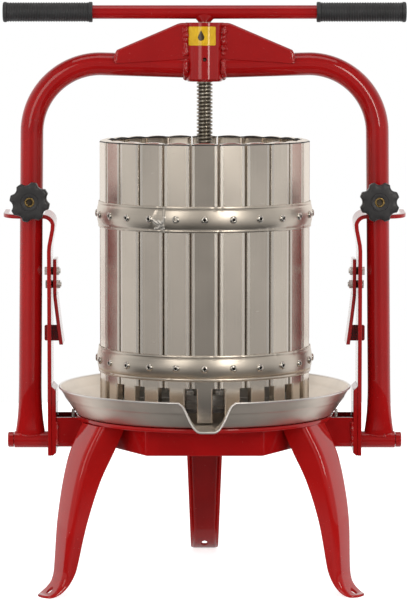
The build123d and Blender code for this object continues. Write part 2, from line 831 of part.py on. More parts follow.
with BuildPart() as tray:
    with BuildSketch(Plane.XZ):
        with BuildLine():
            Polyline(
                (0, tray_seat),
                (tray_floor_radius, tray_seat),
                (tray_crease_radius, tray_crease_level),
                (tray_rim_radius, tray_rim_level),
                (0, tray_rim_level),
                close=True,
            )
        make_face()
    revolve(axis=Axis.Z)
    extrude(trough_section(0), amount=tray_rim_radius)
    with BuildSketch(Plane.YZ):
        with BuildLine():
            Polyline(
                (-tray_rim_radius, tray_rim_level),
                (-tray_rim_radius - spout_reach, tray_seat),
                (-2 * tray_rim_radius, tray_seat),
                (-2 * tray_rim_radius, tray_rim_level),
                close=True,
            )
        make_face()
    extrude(amount=spout_mouth_width, both=True, mode=Mode.SUBTRACT)
    add(tray_inside.part, mode=Mode.SUBTRACT)
    add(spout_channel.part, mode=Mode.SUBTRACT)
keep(tray, "tray")

# Tray locating studs, standing in the cross channel just outside the disc
channel_floor = base_height - channel_height + channel_sheet
with BuildPart() as tray_locators:
    with BuildSketch(Plane.XY.offset(channel_floor)):
        with PolarLocations(disc_radius + locator_offset, 2):
            Circle(locator_radius)
    extrude(amount=tray_seat + locator_top - channel_floor)
keep(tray_locators, "tray_locators")

# Staves: folded channels with their flanges inwards, narrowed at the foot
stave_width = 2 * basket_radius * tan(pi / stave_count) - stave_gap
stave_hoop_levels = (lower_hoop_level, upper_hoop_level)
rivet_hole_radius = rivet_shank_radius + running_clearance
with BuildPart() as stave:
    with BuildSketch(Plane.XY.offset(basket_bottom)):
        with Locations((basket_radius - stave_depth / 2, 0)):
            Rectangle(stave_depth, stave_width)
    extrude(amount=basket_height)
    bend_edges = stave.edges().filter_by(Axis.Z).group_by(Axis.X)[-1]
    fillet(bend_edges, stave_bend_radius)
    with BuildSketch(Plane.XY.offset(basket_bottom)):
        with Locations((basket_radius - stave_sheet - stave_depth / 2, 0)):
            Rectangle(stave_depth, stave_width - 2 * stave_sheet)
    extrude(amount=basket_height, mode=Mode.SUBTRACT)
    with BuildSketch(Plane.XY.offset(basket_bottom)):
        with Locations((basket_radius - stave_depth / 2, 0)):
            Rectangle(2 * stave_depth, 2 * stave_width)
            Rectangle(2 * stave_depth, stave_foot_width, mode=Mode.SUBTRACT)
    extrude(amount=stave_foot_height, mode=Mode.SUBTRACT)
    with BuildSketch(Plane.YZ):
        with Locations(*[(0, level) for level in stave_hoop_levels]):
            Circle(rivet_hole_radius)
    extrude(amount=2 * basket_radius, mode=Mode.SUBTRACT)

with BuildPart() as basket_staves:
    with PolarLocations(0, stave_count, 270):
        add(stave.part)
keep(basket_staves, "basket_staves")

# Hoops: crowned bands with flat lips, and one blind rivet per stave
hoop_inner = hypot(basket_radius, stave_width / 2) + hoop_clearance
hoop_lip_radius = hoop_inner + hoop_sheet
hoop_crown_radius = hoop_lip_radius + hoop_crown
for hoop_name, hoop_level in (("lower", lower_hoop_level), ("upper", upper_hoop_level)):
    hoop_foot = hoop_level - hoop_height / 2
    hoop_head = hoop_level + hoop_height / 2
    with BuildPart() as hoop_drill:
        with BuildSketch(Plane.YZ):
            with Locations((0, hoop_level)):
                Circle(rivet_hole_radius)
        extrude(amount=2 * basket_radius)

    with BuildPart() as hoop:
        with BuildSketch(Plane.XZ):
            with BuildLine():
                outside = ThreePointArc(
                    (hoop_lip_radius, hoop_foot + hoop_lip),
                    (hoop_crown_radius, hoop_level),
                    (hoop_lip_radius, hoop_head - hoop_lip),
                )
                Polyline(outside @ 1, (hoop_lip_radius, hoop_head), (hoop_inner, hoop_head))
                inside = ThreePointArc(
                    (hoop_inner, hoop_head - hoop_lip),
                    (hoop_crown_radius - hoop_sheet, hoop_level),
                    (hoop_inner, hoop_foot + hoop_lip),
                )
                Line((hoop_inner, hoop_head), inside @ 0)
                Polyline(inside @ 1, (hoop_inner, hoop_foot), (hoop_lip_radius, hoop_foot), outside @ 0)
            make_face()
        revolve(axis=Axis.Z)
        with PolarLocations(0, stave_count, 270):
            add(hoop_drill.part, mode=Mode.SUBTRACT)
    keep(hoop, f"hoop_{hoop_name}")

    rivet_tail = basket_radius - stave_sheet
    rivet_face = hoop_crown_radius + rivet_head_height
    with BuildPart() as rivet:
        with BuildSketch(Plane.XZ):
            with BuildLine():
                Polyline(
                    (rivet_tail - rivet_tail_length, hoop_level),
                    (rivet_tail - rivet_tail_length, hoop_level + rivet_tail_radius),
                    (rivet_tail, hoop_level + rivet_tail_radius),
                    (rivet_tail, hoop_level + rivet_shank_radius),
                    (hoop_crown_radius, hoop_level + rivet_shank_radius),
                    (hoop_crown_radius, hoop_level + rivet_head_radius),
                )
                ThreePointArc(
                    (hoop_crown_radius, hoop_level + rivet_head_radius),
                    (hoop_crown_radius + rivet_head_height * 3 / 4, hoop_level + rivet_head_radius * 3 / 4),
                    (rivet_face, hoop_level + rivet_hollow_radius),
                )
                Polyline(
                    (rivet_face, hoop_level + rivet_hollow_radius),
                    (rivet_face - rivet_hollow_depth, hoop_level + rivet_hollow_radius),
                    (rivet_face - rivet_hollow_depth, hoop_level),
                    (rivet_tail - rivet_tail_length, hoop_level),
                )
            make_face()
        revolve(axis=Axis((0, 0, hoop_level), (1, 0, 0)))
    with BuildPart() as rivets:
        with PolarLocations(0, stave_count, 270):
            add(rivet.part)
    keep(rivets, f"rivets_{hoop_name}")
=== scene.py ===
import json
import math
import random

import bmesh
import bpy
from mathutils import Matrix, Vector

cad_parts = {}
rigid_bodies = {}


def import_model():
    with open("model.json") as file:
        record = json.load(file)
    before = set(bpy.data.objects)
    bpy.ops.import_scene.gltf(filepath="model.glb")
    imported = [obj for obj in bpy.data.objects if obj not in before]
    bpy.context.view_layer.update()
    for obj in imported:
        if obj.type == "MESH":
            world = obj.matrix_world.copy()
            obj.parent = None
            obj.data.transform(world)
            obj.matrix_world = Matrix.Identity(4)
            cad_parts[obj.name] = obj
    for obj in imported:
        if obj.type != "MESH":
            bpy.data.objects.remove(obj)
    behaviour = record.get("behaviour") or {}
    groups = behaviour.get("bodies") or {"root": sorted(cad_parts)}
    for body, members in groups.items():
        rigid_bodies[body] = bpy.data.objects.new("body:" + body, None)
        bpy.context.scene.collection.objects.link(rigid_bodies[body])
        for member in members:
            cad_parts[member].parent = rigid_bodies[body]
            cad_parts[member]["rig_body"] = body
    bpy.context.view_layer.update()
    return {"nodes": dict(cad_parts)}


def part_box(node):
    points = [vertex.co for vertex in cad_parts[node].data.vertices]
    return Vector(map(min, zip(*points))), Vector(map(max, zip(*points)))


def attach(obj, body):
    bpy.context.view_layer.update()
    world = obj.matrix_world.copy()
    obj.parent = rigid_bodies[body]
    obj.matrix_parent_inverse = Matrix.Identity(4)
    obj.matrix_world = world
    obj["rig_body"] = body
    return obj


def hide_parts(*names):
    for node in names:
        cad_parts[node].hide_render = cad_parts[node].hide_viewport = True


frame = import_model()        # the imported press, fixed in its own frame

mm = 0.001
scatter = random.Random(23)
sideSigns = {"left": -1, "right": 1}
facings = {"front": -1, "rear": 1}
yAxis, zAxis = Vector((0, 1, 0)), Vector((0, 0, 1))
print("press frame loaded:", len(frame["nodes"]), "nodes")


# shader helpers

softBand, crispBand = (0.3, 0.7), (0.35, 0.65)      # stretch of a noise that runs from one tone to the other


def wire(tree, kind, inputs=None, **settings):
    node = tree.nodes.new(kind)
    for key, value in settings.items():
        setattr(node, key, value)
    for key, value in (inputs or {}).items():
        if isinstance(value, bpy.types.NodeSocket):
            tree.links.new(value, node.inputs[key])
        else:
            node.inputs[key].default_value = value
    return node


def joinMath(tree, operation, first, second):
    return wire(tree, "ShaderNodeMath", {0: first, 1: second}, operation=operation).outputs[0]


def mixColour(tree, factor, first, second):
    node = wire(tree, "ShaderNodeMix", data_type="RGBA", blend_type="MIX")
    for index, value in ((0, factor), (6, first), (7, second)):
        if isinstance(value, bpy.types.NodeSocket):
            tree.links.new(value, node.inputs[index])
        else:
            node.inputs[index].default_value = value
    return node.outputs[2]


def grain(tree, scale, stretch=(1, 1, 1), detail=3.0, turn=(0, 0, 0)):
    place = wire(tree, "ShaderNodeTexCoord")
    lay = wire(tree, "ShaderNodeMapping", {
        "Vector": place.outputs["Object"], "Rotation": turn, "Scale": [scale * s for s in stretch]})
    cloud = wire(tree, "ShaderNodeTexNoise", {"Vector": lay.outputs["Vector"], "Scale": 1.0, "Detail": detail})
    return cloud.outputs["Fac"]


def span(tree, value, lowIn, highIn, lowOut, highOut):
    node = wire(tree, "ShaderNodeMapRange", {
        "Value": value, "From Min": lowIn, "From Max": highIn, "To Min": lowOut, "To Max": highOut})
    return node.outputs["Result"]


def addBump(tree, shader, height, distance, strength):
    node = wire(tree, "ShaderNodeBump", {"Height": height, "Distance": distance, "Strength": strength})
    tree.links.new(node.outputs["Normal"], shader.inputs["Normal"])


def newLook(name, sockets):
    look = bpy.data.materials.new(name)
    look.use_nodes = True
    tree = look.node_tree
    shader = tree.nodes["Principled BSDF"]
    for key, value in sockets.items():
        shader.inputs[key].default_value = value
    return look, tree, shader


# red stove enamel on the frame

redEnamel = {
    "deep": (0.30, 0.0035, 0.0040, 1), "fresh": (0.37, 0.0050, 0.0052, 1),
    # the legs get a brighter copy of the red: painted light on the lower frame
    "litLegDeep": (0.36, 0.0050, 0.0048, 1), "litLegFresh": (0.43, 0.0065, 0.0058, 1),
    "gloss": {"Specular IOR Level": 0.04, "Coat Weight": 1.0, "Coat Roughness": 0.03},
    "clouds": 16, "sheenClouds": 55, "sheen": (0.27, 0.36),
    "speck": (0.70, 0.42, 0.40, 1), "speckSize": 900, "speckBand": (0.78, 0.82), "spatterBand": (0.66, 0.70),
    "speckShare": 0.7, "peel": 260, "peelDepth": 0.00005, "peelBump": 0.35,
    "weldLump": 120, "weldDepth": 0.0006, "weldBump": 0.8,
}


def enamelLook(name, welded=False, deep="deep", fresh="fresh"):
    paint = redEnamel
    look, tree, shader = newLook(name, paint["gloss"])
    tone = mixColour(tree, span(tree, grain(tree, paint["clouds"]), *softBand, 0, 1), paint[deep], paint[fresh])
    speckles = grain(tree, paint["speckSize"], detail=1.0)
    band = paint["spatterBand" if welded else "speckBand"]      # bare spatter shows mostly along the welds
    tone = mixColour(tree, span(tree, speckles, *band, 0, paint["speckShare"]), tone, paint["speck"])
    tree.links.new(tone, shader.inputs["Base Color"])
    sheen = span(tree, grain(tree, paint["sheenClouds"]), *softBand, *paint["sheen"])
    tree.links.new(sheen, shader.inputs["Roughness"])
    if welded:
        addBump(tree, shader, grain(tree, paint["weldLump"]), paint["weldDepth"], paint["weldBump"])
    else:
        addBump(tree, shader, grain(tree, paint["peel"], detail=1.0), paint["peelDepth"], paint["peelBump"])
    return look


# rolled and spun stainless, each with its own direction of grain

stainless = {
    "clouds": 11, "cloudBand": (0.32, 0.68), "lineShare": 0.5, "lineLift": 1.06, "lineDepth": 0.00003, "lineBump": 0.35,
    "scratch": (70, 70, 900), "scratchTurn": (0.35, 0.5, 0.2), "scratchBand": (0.75, 0.78),
    "staveToneAndShadeColour": (0.27, 0.265, 0.26, 1), "staveToneAndShadeShare": 0.16,
}


def steelLook(name, tint, rough, stretch, darkening=0.12, scratches=0.14, drawn=0.0):
    sheet = stainless
    look, tree, shader = newLook(name, {"Metallic": 1.0, "Anisotropic": drawn})
    if drawn:      # rolled upwards, so gloss spreads round the basket
        around = wire(tree, "ShaderNodeTangent", direction_type="RADIAL", axis="Z")
        tree.links.new(around.outputs["Tangent"], shader.inputs["Tangent"])
    lines = grain(tree, 1.0, stretch, detail=4.0)
    clouds = grain(tree, sheet["clouds"], detail=4.0)
    marks = grain(tree, 1.0, sheet["scratch"], detail=2.0, turn=sheet["scratchTurn"])
    dull = [c * (1 - darkening) for c in tint[:3]] + [1]
    bright = [min(1, c * (1 + darkening * 0.5)) for c in tint[:3]] + [1]
    lifted = [c * sheet["lineLift"] for c in tint[:3]] + [1]
    tone = mixColour(tree, span(tree, clouds, *sheet["cloudBand"], 0, 1), dull, bright)
    tone = mixColour(tree, span(tree, lines, *crispBand, 0, sheet["lineShare"]), tone, lifted)
    # staves differ a little in tone at random, and their feet get painted shade, darker towards the bottom
    shade = wire(tree, "ShaderNodeAttribute", attribute_name="staveShade")
    toned = joinMath(tree, "MULTIPLY", shade.outputs["Fac"], sheet["staveToneAndShadeShare"])
    tone = mixColour(tree, toned, tone, sheet["staveToneAndShadeColour"])
    tree.links.new(tone, shader.inputs["Base Color"])
    hairline = span(tree, marks, *sheet["scratchBand"], 0, scratches)
    gloss = joinMath(tree, "ADD", span(tree, clouds, *softBand, *rough), hairline)
    tree.links.new(gloss, shader.inputs["Roughness"])
    addBump(tree, shader, lines, sheet["lineDepth"], sheet["lineBump"])
    return look


# plating, oiled steel, mouldings, brass and print: clouds between two tones over a fine bump

oiledSteel = {
    "sockets": {"Metallic": 0.92}, "clouds": 120, "detail": 5.0, "band": crispBand,
    "pits": (1.0, (900, 900, 2600)), "depth": 0.00005, "bump": 0.4,
}
labelPrint = {
    "sockets": {"Specular IOR Level": 0.08, "Coat Weight": 0.8, "Coat Roughness": 0.05}, "clouds": 130, "detail": 5.0,
    "band": crispBand, "pits": (500,), "depth": 0.00003, "bump": 0.25, "rough": (0.3, 0.44),
}
zincCoat = {
    "sockets": {"Metallic": 0.45}, "clouds": 190, "detail": 4.0, "band": crispBand,
    "pits": (1400,), "depth": 0.00004, "bump": 0.4,
}
turnedBrass = {
    "sockets": {"Metallic": 1.0}, "clouds": 260, "detail": 4.0, "band": softBand,
    "pits": (1900,), "depth": 0.00003, "bump": 0.3,
}
moulding = {"index": 1.48, "clouds": 45, "detail": 4.0, "sheenClouds": 160, "pitDetail": 2.0, "bump": 0.5}


def cloudyLook(name, finish, dark, pale, rough):
    look, tree, shader = newLook(name, finish["sockets"])
    cloud = grain(tree, finish["clouds"], detail=finish["detail"])
    tone = mixColour(tree, span(tree, cloud, *finish["band"], 0, 1), dark, pale)
    tree.links.new(tone, shader.inputs["Base Color"])
    tree.links.new(span(tree, cloud, *softBand, *rough), shader.inputs["Roughness"])
    addBump(tree, shader, grain(tree, *finish["pits"]), finish["depth"], finish["bump"])
    return look


def mouldedLook(name, dark, pale, rough, pit, pitDepth):
    look, tree, shader = newLook(name, {"IOR": moulding["index"]})
    clouds = grain(tree, moulding["clouds"], detail=moulding["detail"])
    tone = mixColour(tree, span(tree, clouds, *softBand, 0, 1), dark, pale)
    tree.links.new(tone, shader.inputs["Base Color"])
    tree.links.new(span(tree, grain(tree, moulding["sheenClouds"]), *softBand, *rough), shader.inputs["Roughness"])
    addBump(tree, shader, grain(tree, pit, detail=moulding["pitDetail"]), pitDepth, moulding["bump"])
    return look


enamel = enamelLook("redEnamel")
# a brighter copy of the same enamel for the legs, painted light where the lower legs should catch more light
litLegEnamel = enamelLook("redEnamelLitForLegs", deep="litLegDeep", fresh="litLegFresh")
weldEnamel = enamelLook("redEnamelOnWeld", welded=True)
# stainless: tint, range of roughness, grain in each direction
staveSteel = steelLook("staveSteel", (0.86, 0.775, 0.675, 1), (0.20, 0.27), (850, 850, 5), drawn=0.6)
hoopSteel = steelLook("hoopSteel", (0.78, 0.705, 0.61, 1), (0.30, 0.40), (8, 8, 700), darkening=0.2)
staveInside = steelLook("staveInside", (0.86, 0.79, 0.70, 1), (0.42, 0.55), (400, 400, 9))
traySteel = steelLook("traySteel", (0.82, 0.73, 0.635, 1), (0.32, 0.44), (14, 14, 60), darkening=0.28)
plateSteel = steelLook("plateSteel", (0.50, 0.49, 0.47, 1), (0.24, 0.36), (500, 8, 500), darkening=0.15)
rivetSteel = steelLook("rivetSteel", (0.70, 0.66, 0.60, 1), (0.16, 0.26), (300, 300, 300), scratches=0.1)
# tray rim lighter than the tray sheet: painted highlight on the rolled edge
rimHighlightSteel = steelLook("rimHighlightSteel", (0.92, 0.885, 0.845, 1), (0.36, 0.44), (30, 30, 30), darkening=0.1, scratches=0.0)
# strips beside the stave folds: rougher, with a lighter tint that is a painted highlight
foldHighlightSteel = steelLook("foldHighlightSteel", (0.97, 0.91, 0.83, 1), (0.36, 0.46), (850, 850, 5), darkening=0.08, scratches=0.05)
weldSteel = steelLook("weldSteel", (0.92, 0.87, 0.80, 1), (0.30, 0.48), (260, 260, 260), darkening=0.2)
# the rest: dark tone, pale tone, range of roughness
zinc = cloudyLook("zincPlate", zincCoat, (0.78, 0.76, 0.72, 1), (0.95, 0.93, 0.89, 1), (0.28, 0.46))
brass = cloudyLook("turnedBrass", turnedBrass, (0.36, 0.22, 0.07, 1), (0.62, 0.43, 0.17, 1), (0.22, 0.4))
# cut edges painted near-black: painted shade along the stave tops and on the press plate rim
shadedCutEdge = cloudyLook("shadedCutEdge", oiledSteel, (0.045, 0.043, 0.045, 1), (0.11, 0.105, 0.105, 1), (0.4, 0.55))
# rivet holes painted near-black: painted shade in the holes
rivetHoleShade = cloudyLook("rivetHoleShade", oiledSteel, (0.008, 0.007, 0.006, 1), (0.022, 0.020, 0.018, 1), (0.5, 0.7))
# thread crests far lighter than flanks: partly wear and grease, partly a painted highlight on the crests and painted
# shade in the grooves
threadFlank = cloudyLook("threadFlank", oiledSteel, (0.050, 0.040, 0.030, 1), (0.13, 0.108, 0.08, 1), (0.30, 0.48))
threadCrest = cloudyLook("threadCrest", oiledSteel, (0.30, 0.265, 0.21, 1), (0.52, 0.48, 0.41, 1), (0.22, 0.36))
gripRubber = mouldedLook("gripRubber", (0.020, 0.020, 0.021, 1), (0.034, 0.034, 0.036, 1), (0.42, 0.56),
                         pit=1500, pitDepth=0.00008)
knobPlastic = mouldedLook("knobPlastic", (0.022, 0.021, 0.022, 1), (0.036, 0.035, 0.036, 1), (0.34, 0.46),
                          pit=2200, pitDepth=0.00005)
labelYellow = cloudyLook("labelYellow", labelPrint, (0.66, 0.385, 0.010, 1), (0.76, 0.47, 0.016, 1), labelPrint["rough"])
labelInk = cloudyLook("labelInk", labelPrint, (0.035, 0.020, 0.008, 1), (0.060, 0.036, 0.014, 1), labelPrint["rough"])
print("finishes ready:", len(bpy.data.materials))


# mesh helpers

meshCare = {"merge": 0.002, "sliver": 0.001, "flat": 0.5, "bevelSteps": 3, "foldShare": 0.95, "leastBend": 0.3}


def finishPiece(name, mesh, looks, body, nodes=(), edge=0.0, crease=38):
    bm = bmesh.new()
    bm.from_mesh(mesh)
    bmesh.ops.remove_doubles(bm, verts=bm.verts, dist=meshCare["merge"] * mm)
    bmesh.ops.dissolve_degenerate(bm, edges=bm.edges, dist=meshCare["sliver"] * mm)
    bmesh.ops.recalc_face_normals(bm, faces=bm.faces)
    bm.to_mesh(mesh)
    bm.free()
    if "custom_normal" in mesh.attributes:
        mesh.attributes.remove(mesh.attributes["custom_normal"])
    mesh.shade_smooth()
    mesh.set_sharp_from_angle(angle=math.radians(crease))
    marks = [polygon.material_index for polygon in mesh.polygons]
    mesh.materials.clear()
    for look in looks if isinstance(looks, (list, tuple)) else [looks]:
        mesh.materials.append(look)
    if isinstance(looks, (list, tuple)):
        mesh.polygons.foreach_set("material_index", marks)
    ob = bpy.data.objects.new(name, mesh)
    bpy.context.scene.collection.objects.link(ob)
    if edge:
        rounding = ob.modifiers.new("edgeRound", "BEVEL")
        rounding.width = edge * mm
        rounding.segments = meshCare["bevelSteps"]
        rounding.limit_method = "ANGLE"
        rounding.angle_limit = math.radians(crease)
        rounding.use_clamp_overlap = True
        rounding.harden_normals = True
    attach(ob, body)
    if nodes:
        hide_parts(*nodes)
    return ob


def rawMesh(name, verts, faces):
    mesh = bpy.data.meshes.new(name)
    mesh.from_pydata([tuple(v) for v in verts], [], faces)
    return mesh


def addPiece(name, verts, faces, looks, body, nodes=(), edge=0.0, crease=38, faceLooks=None):
    mesh = rawMesh(name, verts, faces)
    if faceLooks:
        mesh.polygons.foreach_set("material_index", faceLooks)
    return finishPiece(name, mesh, looks, body, nodes, edge, crease)


def dressNode(node, look, slotName, edge, crease=32):
    source = frame["nodes"][node]
    mesh = source.data.copy()
    bm = bmesh.new()
    bm.from_mesh(mesh)
    bmesh.ops.remove_doubles(bm, verts=bm.verts, dist=meshCare["merge"] * mm)
    bmesh.ops.dissolve_limit(bm, angle_limit=math.radians(meshCare["flat"]), verts=bm.verts, edges=bm.edges,
                             use_dissolve_boundaries=False)
    bm.to_mesh(mesh)
    bm.free()
    return finishPiece(node + "_dressed", mesh, look, source["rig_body"], (node,), edge, crease)


def roundAngles(steps):
    return [2 * math.pi * k / steps for k in range(steps)]


def quarterAngles(steps):
    return [math.pi / 2 * k / steps for k in range(steps + 1)]


def ringFaces(rings, count, closed=True, capEnds=False, looped=False):
    # quads between rows of points: rows closed round or open, the ends capped, or the last row joined to the first
    faces = []
    for ring in range(rings if looped else rings - 1):
        low, high = ring * count, (ring + 1) % rings * count
        for k in range(count if closed else count - 1):
            after = (k + 1) % count
            faces.append((low + k, low + after, high + after, high + k))
    if capEnds:
        faces.append(tuple(range(count)))
        faces.append(tuple((rings - 1) * count + k for k in reversed(range(count))))
    return faces


def lathe(profile, steps, place=Matrix.Identity(4)):
    verts = []
    for radius, level in profile:
        for angle in roundAngles(steps):
            point = Vector((radius * math.cos(angle), radius * math.sin(angle), level)) * mm
            verts.append(place @ point)
    return verts, ringFaces(len(profile), steps)


def joined(parts):
    verts, faces = [], []
    for partVerts, partFaces in parts:
        start = len(verts)
        verts += list(partVerts)
        faces += [tuple(start + k for k in face) for face in partFaces]
    return verts, faces


def foldedChannel(stations, sheet, corner, arcSteps=5, leanIn=0.0, ease=None):
    # one U of sheet per station: web middle, way across, way of the flanges, half width, flange depth
    # ease: width and fall of the strip of web beside each fold
    width, fall = ease or (0, 0)
    verts = []
    for origin, across, inward, half, depth in stations:
        bend = min(corner, depth * meshCare["foldShare"], half * meshCare["foldShare"])
        outerArc = [(half - bend + bend * math.cos(a), bend - bend * math.sin(a)) for a in quarterAngles(arcSteps)]
        inBend = max(bend - sheet, meshCare["leastBend"])
        innerArc = [(half - sheet - inBend + inBend * math.cos(a), sheet + inBend - inBend * math.sin(a))
                    for a in quarterAngles(arcSteps)]
        outer = [(half, depth)] + [(a, s + fall) for a, s in outerArc]
        inner = [(half - sheet, depth)] + [(a, s + fall) for a, s in innerArc]
        if ease:
            outer.append((half - bend - width, 0))
            inner.append((half - bend - width, sheet))
        outer += [(-a, s) for a, s in reversed(outer)]
        inner += [(-a, s) for a, s in reversed(inner)]
        for a, s in outer + inner[::-1]:
            a -= math.copysign(min(s, depth) * leanIn, a)
            verts.append((origin + across * a + inward * min(s, depth)) * mm)
    count = 4 * (arcSteps + (3 if ease else 2))
    faces = ringFaces(len(stations), count)
    for base in (0, (len(stations) - 1) * count):
        for k in range(count // 2 - 1):
            faces.append((base + k, base + k + 1, base + count - 2 - k, base + count - 1 - k))
    return verts, faces


def tubeAlong(points, radii, sides, closed=False):
    verts = []
    total = len(points)
    side = None
    for k, point in enumerate(points):
        ahead = points[(k + 1) % total] if closed or k < total - 1 else point
        behind = points[k - 1] if closed or k > 0 else point
        heading = (ahead - behind).normalized()
        if side is None:
            side = heading.orthogonal().normalized()
        side = (side - heading * side.dot(heading)).normalized()
        up = heading.cross(side)
        for angle in roundAngles(sides):
            verts.append((point + (side * math.cos(angle) + up * math.sin(angle)) * radii[k]) * mm)
    return verts, ringFaces(total, sides, capEnds=not closed, looped=closed)


def throughPoints(points, steps):
    # one smooth curve through the given points
    padded = [points[0] * 2 - points[1]] + list(points) + [points[-1] * 2 - points[-2]]
    curve = []
    for k in range(1, len(padded) - 2):
        before, start, end, after = padded[k - 1:k + 3]
        for j in range(steps):
            t = j / steps
            curve.append(0.5 * (2 * start + (end - before) * t + (2 * before - 5 * start + 4 * end - after) * t * t
                                + (3 * start - before - 3 * end + after) * t ** 3))
    return curve + [points[-1].copy()]


def smoothStep(t):
    t = min(max(t, 0), 1)
    return t * t * (3 - 2 * t)


def mirrored(verts, sign):
    return [Vector((sign * v[0], v[1], v[2])) for v in verts]


# yoke tubes, flattened at the foot and coped to the pivot boss

yokeTube = {
    "radius": 14.4, "axisX": 220.5, "roundFrom": 238.0, "lean": 0.7, "bend": 86.0, "slope": 1.7, "hubLevel": 650.2,
    "hubStart": 21.5, "flatHalf": (18.3, 9.5), "flatTo": 192.0, "drawnFrom": 264.0, "pivotLevel": 180.0,
    "bossRadius": 10.5, "copeSink": 0.5, "sides": 64, "straightSteps": 8, "bendSteps": 32, "drawSteps": 24,
}


def yokePath(tube):
    lean, slope = math.tan(math.radians(tube["lean"])), math.tan(math.radians(tube["slope"]))
    cornerX = tube["axisX"] - (tube["hubLevel"] - tube["roundFrom"]) * lean
    corner = Vector((cornerX, 0, tube["hubLevel"] + cornerX * slope))
    foot = Vector((tube["axisX"] - (tube["drawnFrom"] - tube["roundFrom"]) * lean, 0, tube["drawnFrom"]))
    hub = Vector((tube["hubStart"], 0, tube["hubLevel"] + tube["hubStart"] * slope))
    down, along = (foot - corner).normalized(), (hub - corner).normalized()
    half = down.angle(along) / 2
    reach = tube["bend"] / math.tan(half)
    centre = corner + (down + along).normalized() * tube["bend"] / math.sin(half)
    first, last = corner + down * reach - centre, corner + along * reach - centre
    turn = first.angle(last)
    straight, bends = tube["straightSteps"], tube["bendSteps"]
    points = [foot.lerp(centre + first, k / straight) for k in range(straight)]
    for k in range(bends + 1):
        t = k / bends
        swing = (first * math.sin((1 - t) * turn) + last * math.sin(t * turn)) / math.sin(turn)
        points.append(centre + swing)
    points += [(centre + last).lerp(hub, k / straight) for k in range(1, straight + 1)]
    return points


def yokeRings(tube):
    flatX, flatY = tube["flatHalf"]
    angles = roundAngles(tube["sides"])
    verts = []
    for a in angles:      # coped lower edge
        y = flatY * math.sin(a)
        cope = tube["pivotLevel"] + math.sqrt(tube["bossRadius"] ** 2 - y * y) - tube["copeSink"]
        verts.append(Vector((tube["axisX"] + flatX * math.cos(a), y, cope)) * mm)
    lean = math.tan(math.radians(tube["lean"]))
    steps = tube["drawSteps"]
    for k in range(steps + 1):      # flattened foot drawn back to round
        level = tube["flatTo"] + (tube["drawnFrom"] - tube["flatTo"]) * k / steps
        t = 1 - (1 - k / steps) ** 3
        halfX, halfY = flatX + (tube["radius"] - flatX) * t, flatY + (tube["radius"] - flatY) * t
        middle = tube["axisX"] - max(level - tube["roundFrom"], 0) * lean
        verts += [Vector((middle + halfX * math.cos(a), halfY * math.sin(a), level)) * mm for a in angles]
    path = yokePath(tube)
    for k in range(1, len(path)):
        heading = (path[min(k + 1, len(path) - 1)] - path[k - 1]).normalized()
        outward = yAxis.cross(heading)
        for a in angles:
            spoke = outward * math.cos(a) + yAxis * math.sin(a)
            verts.append((path[k] + spoke * tube["radius"]) * mm)
    return verts


for side, sign in sideSigns.items():
    tubeVerts = yokeRings(yokeTube)
    tubeFaces = ringFaces(len(tubeVerts) // yokeTube["sides"], yokeTube["sides"], capEnds=True)
    addPiece("yokeTube_" + side, mirrored(tubeVerts, sign), tubeFaces, enamel, "frame",
             ["yoke_tube_" + side], crease=50)
print("yoke tubes bent")


# legs: pressed channel with a rolled web edge and a flat foot

pressedLeg = {
    "sheet": 3.0, "corner": 9.0, "topWidth": 52.0, "footWidth": 36.0, "height": 209.6,
    "web": [(161.5, 209.6), (179.5, 176.1), (190.5, 140.0), (199.5, 91.0), (204.0, 41.1), (205.1, 30.0)],
    "flange": [37.3, 38.5, 31.0, 23.3, 16.4, 14.5], "tipCorner": 15.0, "tipLeast": 0.04, "hole": (217.0, 4.5),
    "footTip": 236.48, "bendFrom": 120.0, "lift": 0.01, "webSteps": 8, "sweepSteps": 14, "footSteps": 12,
    "foldSteps": 8, "drill": 20.0, "drillSteps": 40, "merge": 0.01,
}
# each leg: turn about the middle, set off from the middle, how far the foot was bent out, length left off the toe,
# and the points that the web and the flange edge sweep past on the way to the foot
legSets = {
    "leg_front_right": {"turn": -30, "off": -0.5, "spread": -3.5, "cut": 8.5,
                        "knee": (208.0, 8.5), "sole": (201.0, 3.0), "toe": 221.0},
    "leg_rear": {"turn": 90, "off": 0.0, "spread": 0.0, "cut": 0.0,
                 "knee": (214.0, 9.0), "sole": (206.0, 6.0), "toe": 232.0},
    "leg_front_left": {"turn": 210, "off": 3.0, "spread": 1.0, "cut": 6.5,
                       "knee": (208.0, 10.0), "sole": (201.5, 4.0), "toe": 224.0},
}


